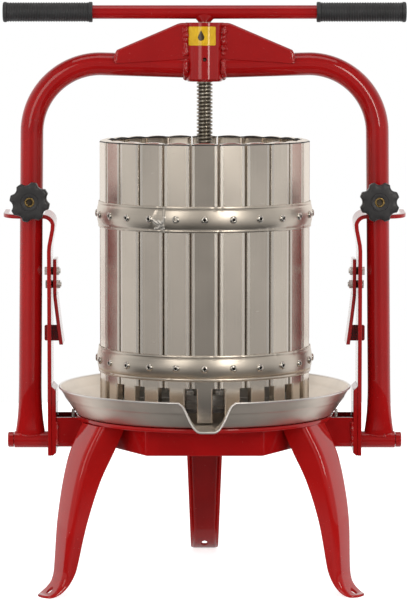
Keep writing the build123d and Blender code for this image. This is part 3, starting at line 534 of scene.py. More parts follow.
def legStations(leg, bent):
    spread, off, toe = bent["spread"], bent["off"], bent["toe"]
    web = throughPoints([Vector((r, 0, z)) for r, z in leg["web"]], leg["webSteps"])
    edge = [Vector((r - d, 0, z)) for (r, z), d in zip(leg["web"], leg["flange"])]
    inner = throughPoints(edge, leg["webSteps"])
    ankle, heel = web[-1], inner[-1]
    tip = leg["footTip"] - bent["cut"]
    toeTop, toeBottom = Vector((toe, 0, leg["sheet"])), Vector((toe, 0, 0))
    knee, sole = [Vector((r, 0, z)) for r, z in (bent["knee"], bent["sole"])]
    for k in range(1, leg["sweepSteps"] + 1):
        t = k / leg["sweepSteps"]
        web.append(ankle * (1 - t) ** 2 + knee * 2 * t * (1 - t) + toeTop * t * t)
        inner.append(heel * (1 - t) ** 2 + sole * 2 * t * (1 - t) + toeBottom * t * t)
    for a in quarterAngles(leg["footSteps"])[1:]:
        x = toe + (tip - toe) * math.sin(a)
        web.append(Vector((x, 0, leg["sheet"])))
        inner.append(Vector((x, 0, 0)))
    for point in web + inner:
        point.x += off + spread * smoothStep((leg["bendFrom"] - point.z) / leg["bendFrom"])
    roundFrom = tip - leg["tipCorner"] + (spread + off)
    stations = []
    for top, low in zip(web, inner):
        half = (leg["footWidth"] + (leg["topWidth"] - leg["footWidth"]) * top.z / leg["height"]) / 2
        past = max(0, top.x - roundFrom)
        half -= leg["tipCorner"] - math.sqrt(max(leg["tipCorner"] ** 2 - past ** 2, leg["tipLeast"]))
        way = low - top
        stations.append((top, yAxis, way.normalized(), half, way.length))
    return stations


def toolMesh(name, verts, faces, merge):
    mesh = rawMesh(name, verts, faces)
    bm = bmesh.new()
    bm.from_mesh(mesh)
    bmesh.ops.remove_doubles(bm, verts=bm.verts, dist=merge * mm)
    bmesh.ops.recalc_face_normals(bm, faces=bm.faces)
    bm.to_mesh(mesh)
    bm.free()
    ob = bpy.data.objects.new(name, mesh)
    bpy.context.scene.collection.objects.link(ob)
    return ob


def drillFoot(verts, faces, leg, bent):
    blank = toolMesh("legBlank", verts, faces, leg["merge"])
    holeX, radius = leg["hole"]
    place = Matrix.Translation(((holeX + (bent["off"] + bent["spread"])) * mm, 0, 0))
    profile = [(0, -leg["drill"]), (radius, -leg["drill"]), (radius, leg["drill"]), (0, leg["drill"])]
    drill = toolMesh("legDrill", *lathe(profile, leg["drillSteps"], place), leg["merge"])
    cut = blank.modifiers.new("footHole", "BOOLEAN")
    cut.object = drill
    cut.solver = "EXACT"
    bpy.context.view_layer.update()
    drilled = bpy.data.meshes.new_from_object(blank.evaluated_get(bpy.context.evaluated_depsgraph_get()))
    for ob in (blank, drill):
        bpy.data.objects.remove(ob)
    return drilled


for node, bent in legSets.items():
    legVerts, legFaces = foldedChannel(legStations(pressedLeg, bent), pressedLeg["sheet"], pressedLeg["corner"],
                                       pressedLeg["foldSteps"])
    legMesh = drillFoot(legVerts, legFaces, pressedLeg, bent)
    stand = Matrix.Translation((0, 0, pressedLeg["lift"] * mm))
    legMesh.transform(stand @ Matrix.Rotation(math.radians(bent["turn"]), 4, "Z"))
    finishPiece(node + "_pressed", legMesh, litLegEnamel, "frame", (node,), edge=0.5)
print("legs pressed and drilled")


# base: disc, hexagonal skirt bent from two strips, cross channel

baseDisc = {"radius": 162.0, "bottom": 209.6, "top": 214.6, "edge": 1.2, "edgeAngles": (0.52, 1.05, 1.57), "steps": 160}
skirt = {"corner": 143.0, "bottom": 176.6, "top": 209.4, "sheet": 3.0, "bend": 6.0, "slot": 28.3, "bendSteps": 8}
crossChannel = {"half": 28.0, "bottom": 173.6, "depth": 38.0, "sheet": 4.0, "corner": 6.0, "reach": 186.4}


def roundedDisc(disc):
    radius, bottom, top, edge = disc["radius"], disc["bottom"], disc["top"], disc["edge"]
    shoulder, angles = radius - edge, disc["edgeAngles"]
    profile = [(0, bottom), (radius * 0.5, bottom), (shoulder, bottom)]
    profile += [(shoulder + edge * math.sin(a), bottom + edge - edge * math.cos(a)) for a in angles]
    profile += [(shoulder + edge * math.cos(a), top - edge + edge * math.sin(a)) for a in (0,) + angles]
    profile += [(radius * 0.5, top), (0, top)]
    return lathe(profile, disc["steps"])


discVerts, discFaces = roundedDisc(baseDisc)
addPiece("baseDisc", discVerts, discFaces, enamel, "frame", ["base_disc"], crease=60)


def skirtStrip(wall, facing):
    reach, corners = wall["corner"], []
    for turn in (0, 60, 120, 180):
        a = math.radians(turn)
        corners.append(Vector((reach * math.cos(a), facing * reach * math.sin(a), 0)))
    start = corners[0] + (corners[1] - corners[0]) * wall["slot"] / abs(corners[1].y)
    end = corners[3] + (corners[2] - corners[3]) * wall["slot"] / abs(corners[2].y)
    path = [start]
    for before, corner, after in ((start, corners[1], corners[2]), (corners[1], corners[2], end)):
        back, ahead = (before - corner).normalized(), (after - corner).normalized()
        half = back.angle(ahead) / 2
        centre = corner + (back + ahead).normalized() * wall["bend"] / math.sin(half)
        first = corner + back * wall["bend"] / math.tan(half) - centre
        last = corner + ahead * wall["bend"] / math.tan(half) - centre
        path += [centre + first.lerp(last, k / wall["bendSteps"]).normalized() * wall["bend"]
                 for k in range(wall["bendSteps"] + 1)]
    path.append(end)
    verts = []
    for k, point in enumerate(path):
        heading = (path[min(k + 1, len(path) - 1)] - path[max(k - 1, 0)]).normalized()
        inward = Vector((-heading.y, heading.x, 0)) * facing
        for offset, level in ((0, wall["bottom"]), (0, wall["top"]), (wall["sheet"], wall["top"]),
                              (wall["sheet"], wall["bottom"])):
            verts.append((point + inward * offset + zAxis * level) * mm)
    return verts, ringFaces(len(path), 4, capEnds=True)


skirtVerts, skirtFaces = joined([skirtStrip(skirt, 1), skirtStrip(skirt, -1)])
addPiece("baseSkirt", skirtVerts, skirtFaces, enamel, "frame", ["base_skirt"], edge=0.7)
channelEnds = [(Vector((share * crossChannel["reach"], 0, crossChannel["bottom"])), yAxis, zAxis,
                crossChannel["half"], crossChannel["depth"]) for share in (-1, -0.5, 0, 0.5, 1)]
channelVerts, channelFaces = foldedChannel(channelEnds, crossChannel["sheet"], crossChannel["corner"])
addPiece("crossChannel", channelVerts, channelFaces, enamel, "frame", ["cross_channel"], edge=0.6)
print("base welded up")


# uprights: flat bar that leans in, curls over and ends in a rounded tab, raised a little at the back

uprightBar = {
    "x": 194.5, "bottom": 163.2, "leanFrom": 424.6, "leanX": 189.5, "curlFrom": 451.6, "curlRadius": 12.0,
    "curlLean": 10.5, "tabLevel": 465.8, "half": 2.5, "depth": 30.5, "tabEnd": 252.38, "tabArm": 6.5,
    "frontBand": 12.0, "tabCorner": 24.0, "windowCorner": 9.0, "backCorner": 3.2, "tabLap": 1.5,
    "tilt": 3.2, "tiltFrom": 424.0, "tiltOver": 36.0, "straightSteps": 10, "straightEnd": 4.0,
    "leanShares": (0.12, 0.3, 0.5, 0.7, 0.9), "arcSteps": 12,
}
stiffenerPlate = {"x": (186.5, 192.0), "z": (163.2, 251.1), "depth": 30.0, "bevelLow": (4.4, 3.4), "bevelTop": 5.5}


def barTilt(point, bar):
    share = smoothStep((point.z - bar["tiltFrom"]) / bar["tiltOver"])
    return point + zAxis * point.y * math.tan(math.radians(bar["tilt"])) * share


def barPath(bar, middle):
    lean, steps, arc = math.radians(bar["curlLean"]), bar["straightSteps"], bar["arcSteps"]
    rise = bar["leanFrom"] - bar["straightEnd"] - bar["bottom"]
    path = [Vector((bar["x"], 0, bar["bottom"] + rise * k / steps)) for k in range(steps + 1)]
    for t in bar["leanShares"]:
        path.append(Vector((bar["x"] + (bar["leanX"] - bar["x"]) * t, 0,
                            bar["leanFrom"] + (bar["curlFrom"] - bar["leanFrom"]) * t)))
    for k in range(arc + 1):
        a = math.pi - lean - (math.pi / 2 - lean) * k / arc
        path.append(middle + Vector((bar["curlRadius"] * math.cos(a), 0, bar["curlRadius"] * math.sin(a))))
    return path


def tabPlan(bar, start):
    end, front, back = bar["tabEnd"], -bar["depth"], bar["depth"]
    arm, band = end - bar["tabArm"], front + bar["frontBand"]
    big, inner, small = bar["tabCorner"], bar["windowCorner"], bar["backCorner"]
    quarter = quarterAngles(bar["arcSteps"])
    plan = [(start, front)] + [(end - big + big * math.sin(a), front + big - big * math.cos(a)) for a in quarter]
    plan += [(end - small + small * math.cos(a), back - small + small * math.sin(a)) for a in quarter]
    plan += [(arm + small - small * math.sin(a), back - small + small * math.cos(a)) for a in quarter]
    plan += [(arm - inner + inner * math.cos(a), band + inner - inner * math.sin(a)) for a in quarter]
    return plan + [(start, band)]


def uprightMesh(bar):
    lean = math.radians(bar["curlLean"])
    middle = Vector((bar["leanX"] + bar["curlRadius"] * math.cos(lean), 0, bar["tabLevel"] - bar["curlRadius"]))
    path = barPath(bar, middle)
    strip = []
    for k, point in enumerate(path):
        heading = (path[min(k + 1, len(path) - 1)] - path[max(k - 1, 0)]).normalized()
        out = Vector((heading.z, 0, -heading.x))
        for y, side in ((-1, -1), (-1, 1), (1, 1), (1, -1)):
            strip.append(barTilt(point + out * bar["half"] * side + yAxis * bar["depth"] * y, bar) * mm)
    plan = tabPlan(bar, middle.x - bar["tabLap"])
    tab = [barTilt(Vector((x, y, bar["tabLevel"] + bar["half"] * side)), bar) * mm for side in (-1, 1) for x, y in plan]
    return joined([(strip, ringFaces(len(path), 4, capEnds=True)), (tab, ringFaces(2, len(plan), capEnds=True))])


def stiffenerMesh(plate):
    (inner, outer), (low, high) = plate["x"], plate["z"]
    wide, tall = plate["bevelLow"]
    outline = [(outer, low), (inner + wide, low), (inner, low + tall), (inner, high - plate["bevelTop"]), (outer, high)]
    verts = [Vector((x, y, z)) * mm for y in (-plate["depth"], plate["depth"]) for x, z in outline]
    return verts, ringFaces(2, len(outline), capEnds=True)


for side, sign in sideSigns.items():
    barVerts, barFaces = uprightMesh(uprightBar)
    addPiece("upright_" + side + "_bent", mirrored(barVerts, sign), barFaces, enamel, "frame",
             ["upright_" + side], edge=0.9)
    plateVerts, plateFaces = stiffenerMesh(stiffenerPlate)
    addPiece("stiffener_" + side + "_cut", mirrored(plateVerts, sign), plateFaces, enamel, "frame",
             ["stiffener_" + side], edge=0.7)
print("uprights bent")


# pins and the other plain parts keep their shape and get broken edges: look, slot and width of the edge
# a name that ends in _ stands for a left and a right part

plainParts = {
    "pivot_boss_": (enamel, "red_paint", 0.6), "pivot_pin_": (enamel, "red_paint", 0.6),
    "nut_block": (enamel, "red_paint", 0.8), "catch_bolts_": (zinc, "zinc", 0.45), "catch_nuts_": (zinc, "zinc", 0.45),
    "catch_spacers_": (threadFlank, "zinc", 0.3), "knob_washer_": (zinc, "zinc", 0.3),
    "knob_stud_": (threadFlank, "zinc", 0.5), "tray_locators": (zinc, "zinc", 0.6),
    "swivel_cup": (plateSteel, "stainless", 0.8), "press_plate": (plateSteel, "stainless", 0.8),
    "swivel_pins": (zinc, "zinc", 0.5), "thrust_washer": (zinc, "zinc", 0.4), "cup_bolts": (zinc, "zinc", 0.4),
}
plateRimShare = 0.97      # faces further out than this belong to the rim

dressed = {}
for part, finish in plainParts.items():
    for node in [part + side for side in sideSigns] if part.endswith("_") else [part]:
        dressed[node] = dressNode(node, *finish)
pressPlate = dressed["press_plate"].data
pressPlate.materials.append(shadedCutEdge)
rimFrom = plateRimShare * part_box("press_plate")[1].x
for polygon in pressPlate.polygons:      # cut rim, painted near-black as shade inside the basket
    if abs(polygon.normal.z) < 0.5 and polygon.center.xy.length > rimFrom:
        polygon.material_index = 1
print("flat bar and fasteners dressed")


# sprung catches: a strap leaning in to a flat tongue that passes behind the upright

catchArm = {
    "root": (185.7, 190.2, 365.4), "tip": (177.9, 182.6, 302.3), "front": -17.5, "back": 32.5, "steps": 10,
    "spring": 1.12, "relief": 0.7, "skew": 0.6, "plateTop": 409.8, "plateCorner": 4.0, "plateGap": 0.1,
    "tongue": (178.6, 203.8, 302.2, 322.4), "tongueFront": 32.0, "tongueBack": 35.0, "corner": 5.0,
    "tongueBevel": 1.5, "tongueStep": 3.0, "arcSteps": 6,
}


def catchMesh(strap):
    inRoot, outRoot, high = strap["root"]
    inTip, outTip, low = strap["tip"]
    front, back = strap["front"], strap["back"]
    verts = []
    for k in range(strap["steps"] + 1):
        t = k / strap["steps"]
        lean = t ** strap["spring"]      # nearly straight, a little sprung at the root
        level = high + (low - high) * t
        inner, outer = inRoot + (inTip - inRoot) * lean, outRoot + (outTip - outRoot) * lean
        relief = strap["relief"] if k == 0 else 0      # room for the strap to spring in
        for x, y, z in ((inner, front, level - relief), (outer, front + strap["skew"], level), (outer, back, level),
                        (inner, back, level - relief)):
            verts.append(Vector((x, y, z)) * mm)
    left, right, bottom, top = strap["tongue"]
    corner, bevel = strap["corner"], strap["tongueBevel"]
    outline = [(left + corner - corner * math.cos(a), bottom + corner - corner * math.sin(a))
               for a in quarterAngles(strap["arcSteps"])]
    outline += [(right - bevel, bottom), (right, bottom + bevel), (right, top - bevel), (right - bevel, top),
                (left + strap["tongueStep"], top)]
    tongue = [Vector((x, y, z)) * mm for y in (strap["tongueFront"], strap["tongueBack"]) for x, z in outline]
    return joined([(verts, ringFaces(strap["steps"] + 1, 4, capEnds=True)),
                   (tongue, ringFaces(2, len(outline), capEnds=True))])


def catchPlate(strap):
    inner, outer, low = strap["root"]
    corner, high, low = strap["plateCorner"], strap["plateTop"], low + strap["plateGap"]
    outline = [(strap["front"], low), (strap["back"], low)]
    for middle, start in ((strap["back"] - corner, 0), (strap["front"] + corner, 1)):
        outline += [(middle + corner * math.cos(a), high - corner + corner * math.sin(a))
                    for a in [math.pi / 2 * (start + k / strap["arcSteps"]) for k in range(strap["arcSteps"] + 1)]]
    verts = [Vector((x, y, z)) * mm for x in (inner, outer) for y, z in outline]
    return verts, ringFaces(2, len(outline), capEnds=True)


for side, sign in sideSigns.items():
    plateVerts, plateFaces = catchPlate(catchArm)
    addPiece("catchPlate_" + side, mirrored(plateVerts, sign), plateFaces, enamel, "frame",
             ["catch_plate_" + side], edge=0.5)
    strapVerts, strapFaces = catchMesh(catchArm)
    addPiece("catchArm_" + side, mirrored(strapVerts, sign), strapFaces, enamel, "catch_" + side,
             ["catch_arm_" + side], edge=0.5)
print("catches bent")


# gusset saddles between the nut block and the yoke tubes

gusset = {
    "sheet": 3.0, "fold": 4.5, "start": 20.8, "shoulder": 31.0, "reach": 112.0, "top": 705.1, "endTop": 670.5,
    "hubHalf": 11.8, "endHalf": 17.2, "hubLow": 661.2, "endLow": 654.6, "endDrop": 3.0, "endNip": 0.8, "endRun": 2.5,
    "bend": 4.0, "slopeSteps": 12,
}


def gussetStations(plate):
    shoulder, reach, bend = plate["shoulder"], plate["reach"], plate["bend"]
    marks = [plate["start"]] + [shoulder + bend * share for share in (-1, -0.5, 0, 0.5, 1)]
    marks += [shoulder + bend + (reach - shoulder - bend) * k / plate["slopeSteps"]
              for k in range(1, plate["slopeSteps"] + 1)]
    marks.insert(-1, reach - plate["endRun"])
    fall = (plate["top"] - plate["endTop"]) / (reach - shoulder)
    stations = []
    for x in marks:
        share = (x - plate["start"]) / (reach - plate["start"])
        past = x - shoulder      # a soft fold lies between the level shoulder and the slope
        drop = 0 if past < -bend else (past + bend) ** 2 / (4 * bend) * fall if past < bend else past * fall
        top = plate["top"] - drop
        low = plate["hubLow"] + (plate["endLow"] - plate["hubLow"]) * x / reach
        half = plate["hubHalf"] + (plate["endHalf"] - plate["hubHalf"]) * share
        if x == reach:
            top -= plate["endDrop"]
            half -= plate["endNip"]
        stations.append((Vector((x, 0, top)), yAxis, -zAxis, half, top - low))
    return stations


for side, sign in sideSigns.items():
    gussetVerts, gussetFaces = foldedChannel(gussetStations(gusset), gusset["sheet"], gusset["fold"])
    addPiece("gusset_" + side + "_folded", mirrored(gussetVerts, sign), gussetFaces, enamel, "frame",
             ["gusset_" + side], edge=0.6)
print("gussets folded")


# weld beads, laid in short overlapping drops

weld = {"pitch": 4.2, "sway": 0.5, "swell": 0.24, "steps": 6, "sides": 18, "end": 0.5}
# where the beads run, with their radius and how lumpy they are
seams = {
    "nut": {"x": (22.6, 1.6), "y": (10.0, 0.3), "z": (664, 38), "steps": 6, "radius": 4.9,
            "lump": {"left": 1.0, "right": 1.4}},
    "gussetEnd": {"x": 111.2, "run": ((16.6, 656), (16.8, 660), (16.2, 665)), "radius": 1.5},
    "tube": {"x": 23.4, "level": 650.9, "ring": 14.0, "turn": (150, 390), "steps": 24, "radius": 3.6, "lump": 0.8},
    "boss": {"x": 220.5, "level": 180.0, "half": (17.2, 9.4), "rise": (10.4, 5.2), "steps": 20, "radius": 1.3, "lump": 0.25},
    "tack": {"part": slice(3, 9), "proud": 0.5, "radius": 1.7, "lump": 0.8},
    "channel": {"x": 185.6, "y": 28.0, "levels": (176.5, 184.0, 192.0, 200.0, 207.0), "radius": 2.2, "lump": 0.9},
}


def weldBead(name, points, radius, lump=1.0, look=None):
    drops = [points[0]]
    for first, last in zip(points, points[1:]):
        count = max(1, round((last - first).length / weld["pitch"]))
        drops += [first.lerp(last, (k + 1) / count) for k in range(count)]
    sway = weld["sway"] * lump
    drops = [p + Vector([scatter.uniform(-sway, sway) for _ in range(3)]) for p in drops]
    swell = weld["swell"] * lump
    sizes = [Vector((radius * (1 + scatter.uniform(-swell, swell)), 0, 0)) for _ in drops]
    path = throughPoints(drops, weld["steps"])
    radii = [size.x for size in throughPoints(sizes, weld["steps"])]
    radii[0] *= weld["end"]
    radii[-1] *= weld["end"]
    verts, faces = tubeAlong(path, radii, weld["sides"])
    return addPiece(name, verts, faces, look or weldEnamel, "frame", crease=70)


def ringSeam(seam, sign):
    centre = Vector((sign * seam["x"], 0, seam["level"]))
    start, end = seam["turn"]
    angles = [math.radians(start + (end - start) * k / seam["steps"]) for k in range(seam["steps"] + 1)]
    return [centre + yAxis * seam["ring"] * math.cos(a) + zAxis * seam["ring"] * math.sin(a) for a in angles]


for side, sign in sideSigns.items():
    nut, end, tube = seams["nut"], seams["gussetEnd"], seams["tube"]
    boss, tack, channel = seams["boss"], seams["tack"], seams["channel"]
    for word, facing in facings.items():
        shares = [k / nut["steps"] for k in range(nut["steps"] + 1)]
        (x, dx), (y, dy), (z, dz) = nut["x"], nut["y"], nut["z"]
        seam = [Vector((sign * (x + dx * t), facing * (y + dy * t), z + dz * t)) for t in shares]
        weldBead(f"nutWeld_{word}_{side}", seam, nut["radius"], nut["lump"][side])
        seam = [Vector((sign * end["x"], facing * y, z)) for y, z in end["run"]]
        weldBead(f"gussetEndWeld_{word}_{side}", seam, end["radius"])
    weldBead(f"tubeWeld_{side}", ringSeam(tube, sign), tube["radius"], tube["lump"])
    middle = Vector((sign * boss["x"], 0, boss["level"]))
    (wide, deep), (rise, dip) = boss["half"], boss["rise"]
    for word, facing in facings.items():
        cope = [middle + Vector((sign * wide * math.cos(a), facing * deep * math.sin(a), rise - dip * math.sin(a)))
                for a in [math.pi * k / boss["steps"] for k in range(boss["steps"] + 1)]]
        weldBead(f"bossWeld_{word}_{side}", cope, boss["radius"], boss["lump"], look=enamel)
        proud = yAxis * facing * tack["proud"]
        weldBead(f"bossTack_{word}_{side}", [p + proud for p in cope[tack["part"]]], tack["radius"], tack["lump"])
        seam = [Vector((sign * channel["x"], facing * channel["y"], z)) for z in channel["levels"]]
        weldBead(f"channelWeld_{word}_{side}", seam, channel["radius"], channel["lump"])
print("welds laid")


# handle bar with its flared neck, and the ribbed grips

handle = {
    "radius": 8.6, "level": 718.5, "half": 249.0, "chamfer": 0.6, "rings": range(-240, 241, 40), "sides": 48,
    "neckBottom": 706.1, "neckRadius": 8.0, "flare": 14.5, "flareCurve": 1.25, "neckSwell": 0.2, "neckSteps": 10,
    "lumps": 9, "lumpHeight": 0.35,
}
grip = {
    "start": 140.0, "end": 252.0, "radius": 12.1, "collarRadius": 12.69, "collarWidth": 5.0, "ribPitch": 3.1,
    "ribDepth": 0.75, "ribCrown": 0.12, "bore": 8.62, "boreDepth": 6.0, "boreEase": 0.6, "steps": 56,
    # shape of one rib, and rounded edges: change of radius, distance from the edge
    "ribForm": [("low", 0.12), ("side", 0.30), ("high", 0.45), ("side", 0.72), ("low", 0.90)],
    "startEase": [(-0.9, 0.0), (-0.25, 0.3), (0.0, 1.0)], "collarEase": [(0.0, 0.6), (-0.5, 0.0)],
    "endEase": [(0.0, 2.2), (-0.35, 1.0), (-1.2, 0.25), (-2.4, 0.0)], "endShare": 0.4,
}


def handleMesh(bar):
    turn = Matrix.Translation((0, 0, bar["level"] * mm)) @ Matrix.Rotation(math.pi / 2, 4, "Y")
    radius, half, chamfer = bar["radius"], bar["half"], bar["chamfer"]
    profile = [(0, -half), (radius - chamfer, -half), (radius, -half + chamfer)]
    profile += [(radius, x) for x in bar["rings"]]
    profile += [(radius, half - chamfer), (radius - chamfer, half), (0, half)]
    neck = []
    for k in range(bar["neckSteps"] + 1):
        t = k / bar["neckSteps"]
        swell = math.sin(math.pi * t)
        level = bar["neckBottom"] + (bar["level"] - bar["neckBottom"]) * t
        wide, deep = bar["neckRadius"] + bar["flare"] * t ** bar["flareCurve"], bar["neckRadius"] + bar["neckSwell"] * swell
        lump = bar["lumpHeight"] * swell
        for a in roundAngles(bar["sides"]):
            x = (wide + lump * math.sin(bar["lumps"] * a)) * math.cos(a)
            neck.append(Vector((x, deep * math.sin(a), level)) * mm)
    return joined([lathe(profile, bar["sides"], turn),
                   (neck, ringFaces(bar["neckSteps"] + 1, bar["sides"], capEnds=True))])


barVerts, barFaces = handleMesh(handle)
addPiece("handleBar", barVerts, barFaces, enamel, "screw", ["handle_bar"], crease=45)


def gripProfile(sleeve):
    inner, outer, bore, ease = sleeve["start"], sleeve["end"], sleeve["bore"], sleeve["boreEase"]
    collar, big, plain = sleeve["collarWidth"], sleeve["collarRadius"], sleeve["radius"]
    ribRadius = {"low": plain - sleeve["ribDepth"], "side": plain - sleeve["ribCrown"], "high": plain}
    profile = [(bore, inner + sleeve["boreDepth"]), (bore, inner + ease), (bore + ease, inner)]
    profile += [(big + change, inner + run) for change, run in sleeve["startEase"]]
    profile += [(big + change, inner + collar - run) for change, run in sleeve["collarEase"]]
    ribs = int((outer - inner - 2 * collar) / sleeve["ribPitch"])
    pitch = (outer - inner - 2 * collar) / ribs
    for k in range(ribs):
        at = inner + collar + k * pitch
        profile += [(ribRadius[place], at + share * pitch) for place, share in sleeve["ribForm"]]
    profile += [(big + change, outer - collar + run) for change, run in reversed(sleeve["collarEase"])]
    profile += [(big + change, outer - run) for change, run in sleeve["endEase"]]
    return profile + [(big * sleeve["endShare"], outer), (0, outer)]


for side, sign in sideSigns.items():
    sleeveTurn = Matrix.Translation((0, 0, handle["level"] * mm)) @ Matrix.Rotation(sign * math.pi / 2, 4, "Y")
    gripVerts, gripFaces = lathe(gripProfile(grip), grip["steps"], sleeveTurn)
    addPiece("grip_" + side + "_ribbed", gripVerts, gripFaces, gripRubber, "screw", ["grip_" + side],
             crease=55)
print("handle and grips fitted")


# screw with a cut trapezoid thread, right-handed

thread = {
    "crest": 9.95, "root": 7.7, "pitch": 4.6, "bottom": 265.9, "top": 705.5, "steps": 40,
    "form": [(0.00, "root"), (0.30, "root"), (0.44, "crest"), (0.86, "crest")], "neck": 7.95, "neckTop": 706.1,
    "tip": 7.9, "tipBottom": 242.8, "tipChamfer": 0.8, "groove": (5.0, 251.8, 258.4), "grooveEase": 0.3, "sink": 1.0,
    "sides": 48,
}


def threadMesh(cut):
    turns = int((cut["top"] - cut["bottom"]) / cut["pitch"]) + 2
    rows = turns * cut["steps"]
    start = cut["bottom"] - cut["pitch"]
    verts, faces, looks = [], [], []
    count = len(cut["form"])
    for k in range(rows + 1):
        angle = 2 * math.pi * k / cut["steps"]
        for share, place in cut["form"]:
            level = start + cut["pitch"] * (k / cut["steps"] + share)
            level = min(max(level, cut["bottom"]), cut["top"])
            radius = cut[place]
            verts.append(Vector((radius * math.cos(angle), radius * math.sin(angle), level)) * mm)
    for k in range(rows):
        for j in range(count):
            if j < count - 1:
                quad = (k * count + j, (k + 1) * count + j, (k + 1) * count + j + 1, k * count + j + 1)
            elif k + cut["steps"] + 1 <= rows:
                above = (k + cut["steps"]) * count
                quad = (k * count + j, (k + 1) * count + j, above + count, above)
            else:
                continue
            faces.append(quad)
            looks.append(1 if j == 2 else 0)
    return verts, faces, looks


def tipProfile(cut):
    tip, bottom, chamfer, ease = cut["tip"], cut["tipBottom"], cut["tipChamfer"], cut["grooveEase"]
    radius, low, high = cut["groove"]
    end = cut["bottom"] + cut["sink"]
    return [(0, bottom), (tip - chamfer, bottom), (tip, bottom + chamfer), (tip, low), (radius, low + ease),
            (radius, high - ease), (tip, high), (tip, end), (0, end)]


def neckProfile(cut):
    start = cut["top"] - cut["sink"]
    return [(0, start), (cut["neck"], start), (cut["neck"], cut["neckTop"]), (0, cut["neckTop"])]


screwVerts, screwFaces, screwLooks = threadMesh(thread)
ends = [lathe(profile(thread), thread["sides"]) for profile in (tipProfile, neckProfile)]
allVerts, allFaces = joined([(screwVerts, screwFaces)] + ends)
# dark flanks and light crests: painted shade in the grooves and painted highlight on the crests, with grease and wear
addPiece("screw_threaded", allVerts, allFaces, [threadFlank, threadCrest], "screw", ["screw"], crease=30,
         faceLooks=screwLooks + [1] * (len(allFaces) - len(screwLooks)))
print("screw cut,", round((thread["top"] - thread["bottom"]) / thread["pitch"]), "turns")


# clamp knobs with eight lobes, and their brass inserts

knob = {
    "lobes": 8, "radius": 25.0, "scallop": 7.5, "valley": 21.4, "lobeEase": (1.6, 0.4), "back": -32.6, "face": -47.6,
    "studRadius": 4.0, "level": 483.0, "steps": 192, "phase": {"left": 32.7, "right": 22.5}, "insertEdge": 0.5,
    # section from the bore round the rim to the bore: beside the lobes or plain round, by how much, and its place
    # along the stud
    "section": [
        ("round", 6.0, "back", 0), ("lobes", -2.2, "back", 0), ("lobes", -0.7, "back", -0.6),
        ("lobes", 0, "back", -2.0), ("lobes", 0, "face", 3.4), ("lobes", -0.45, "face", 1.8),
        ("lobes", -1.4, "face", 0.7), ("lobes", -3.0, "face", 0.1), ("round", 15.0, "face", 0),
        ("round", 11.7, "face", 0), ("round", 11.2, "face", 0.45), ("round", 10.7, "face", 0.45),
        ("round", 10.2, "face", 0), ("round", 7.2, "face", 0), ("round", 6.4, "face", 0.25),
        ("round", 6.0, "face", 0.9), ("round", 6.0, "back", 0)],
}


def knobRim(angle, star):
    spacing = 2 * math.pi / star["lobes"]
    swing = (angle + spacing / 2) % spacing - spacing / 2
    away = abs(spacing / 2 - abs(swing))      # angle from the nearest valley
    far = star["valley"] + star["scallop"]
    side = far * math.sin(away)
    scoop = star["radius"] * 4
    if side < star["scallop"]:
        scoop = far * math.cos(away) - math.sqrt(max(star["scallop"] ** 2 - side ** 2, 0))
    width, depth = star["lobeEase"]
    near = max(width - abs(star["radius"] - scoop), 0) / width
    return min(star["radius"], scoop) - near * near * depth


def knobMesh(star, phase):
    verts = []
    for form, size, end, past in star["section"]:
        for angle in roundAngles(star["steps"]):
            radius = knobRim(angle, star) + size if form == "lobes" else size
            turned = angle + math.radians(phase)
            verts.append(Vector((radius * math.cos(turned), star[end] + past, radius * math.sin(turned))))
    return verts, ringFaces(len(star["section"]), star["steps"])


for side, sign in sideSigns.items():
    knobVerts, knobFaces = knobMesh(knob, knob["phase"][side])
    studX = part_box("knob_stud_right")[0].x / mm + knob["studRadius"]
    centre = Vector((sign * studX, 0, knob["level"]))
    addPiece("knob_" + side + "_lobed", [(v + centre) * mm for v in knobVerts], knobFaces, knobPlastic, "knob_" + side,
             ["knob_" + side], crease=40)
    dressNode("knob_insert_" + side, brass, "brass", knob["insertEdge"])
print("knobs moulded")


# label: bare yellow with a plain drop

label = {
    "radius": 24.32, "middle": -4.4, "halfWidth": 19.2, "low": 677.0, "high": 700.5, "corner": 1.8, "columns": 36,
    "rows": 14, "sheet": 0.3,
}
drop = {"radius": 24.36, "centre": 687.0, "round": 4.2, "tip": 8.6, "waist": 0.55, "steps": 40, "rings": 5}


def onNut(across, level, radius):
    angle = across / radius - math.pi / 2
    return Vector((radius * math.cos(angle), radius * math.sin(angle), level)) * mm


def labelMesh(card):
    verts = []
    middle, halfHeight = (card["low"] + card["high"]) / 2, (card["high"] - card["low"]) / 2
    heights = [-math.cos(math.pi * k / card["rows"]) for k in range(card["rows"] + 1)]
    for h in heights:
        level = halfHeight * h
        past = max(0, abs(level) - halfHeight + card["corner"])
        half = card["halfWidth"] - card["corner"] + math.sqrt(max(card["corner"] ** 2 - past ** 2, 0))
        for k in range(card["columns"] + 1):
            verts.append(onNut(card["middle"] + half * (2 * k / card["columns"] - 1), middle + level, card["radius"]))
    return verts, ringFaces(len(heights), card["columns"] + 1, closed=False)


def dropMesh(shape):
    outline = []
    for angle in roundAngles(shape["steps"]):
        pull = max(0, math.sin(angle)) ** 3
        outline.append(Vector((shape["round"] * math.cos(angle) * (1 - shape["waist"] * pull),
                               shape["round"] * math.sin(angle) + (shape["tip"] - shape["round"]) * pull, 0)))
    verts = []
    for ring in range(shape["rings"] + 1):
        size = 1 - ring / shape["rings"]
        verts += [onNut(label["middle"] + p.x * size, shape["centre"] + p.y * size, shape["radius"]) for p in outline]
    return verts, ringFaces(shape["rings"] + 1, shape["steps"])


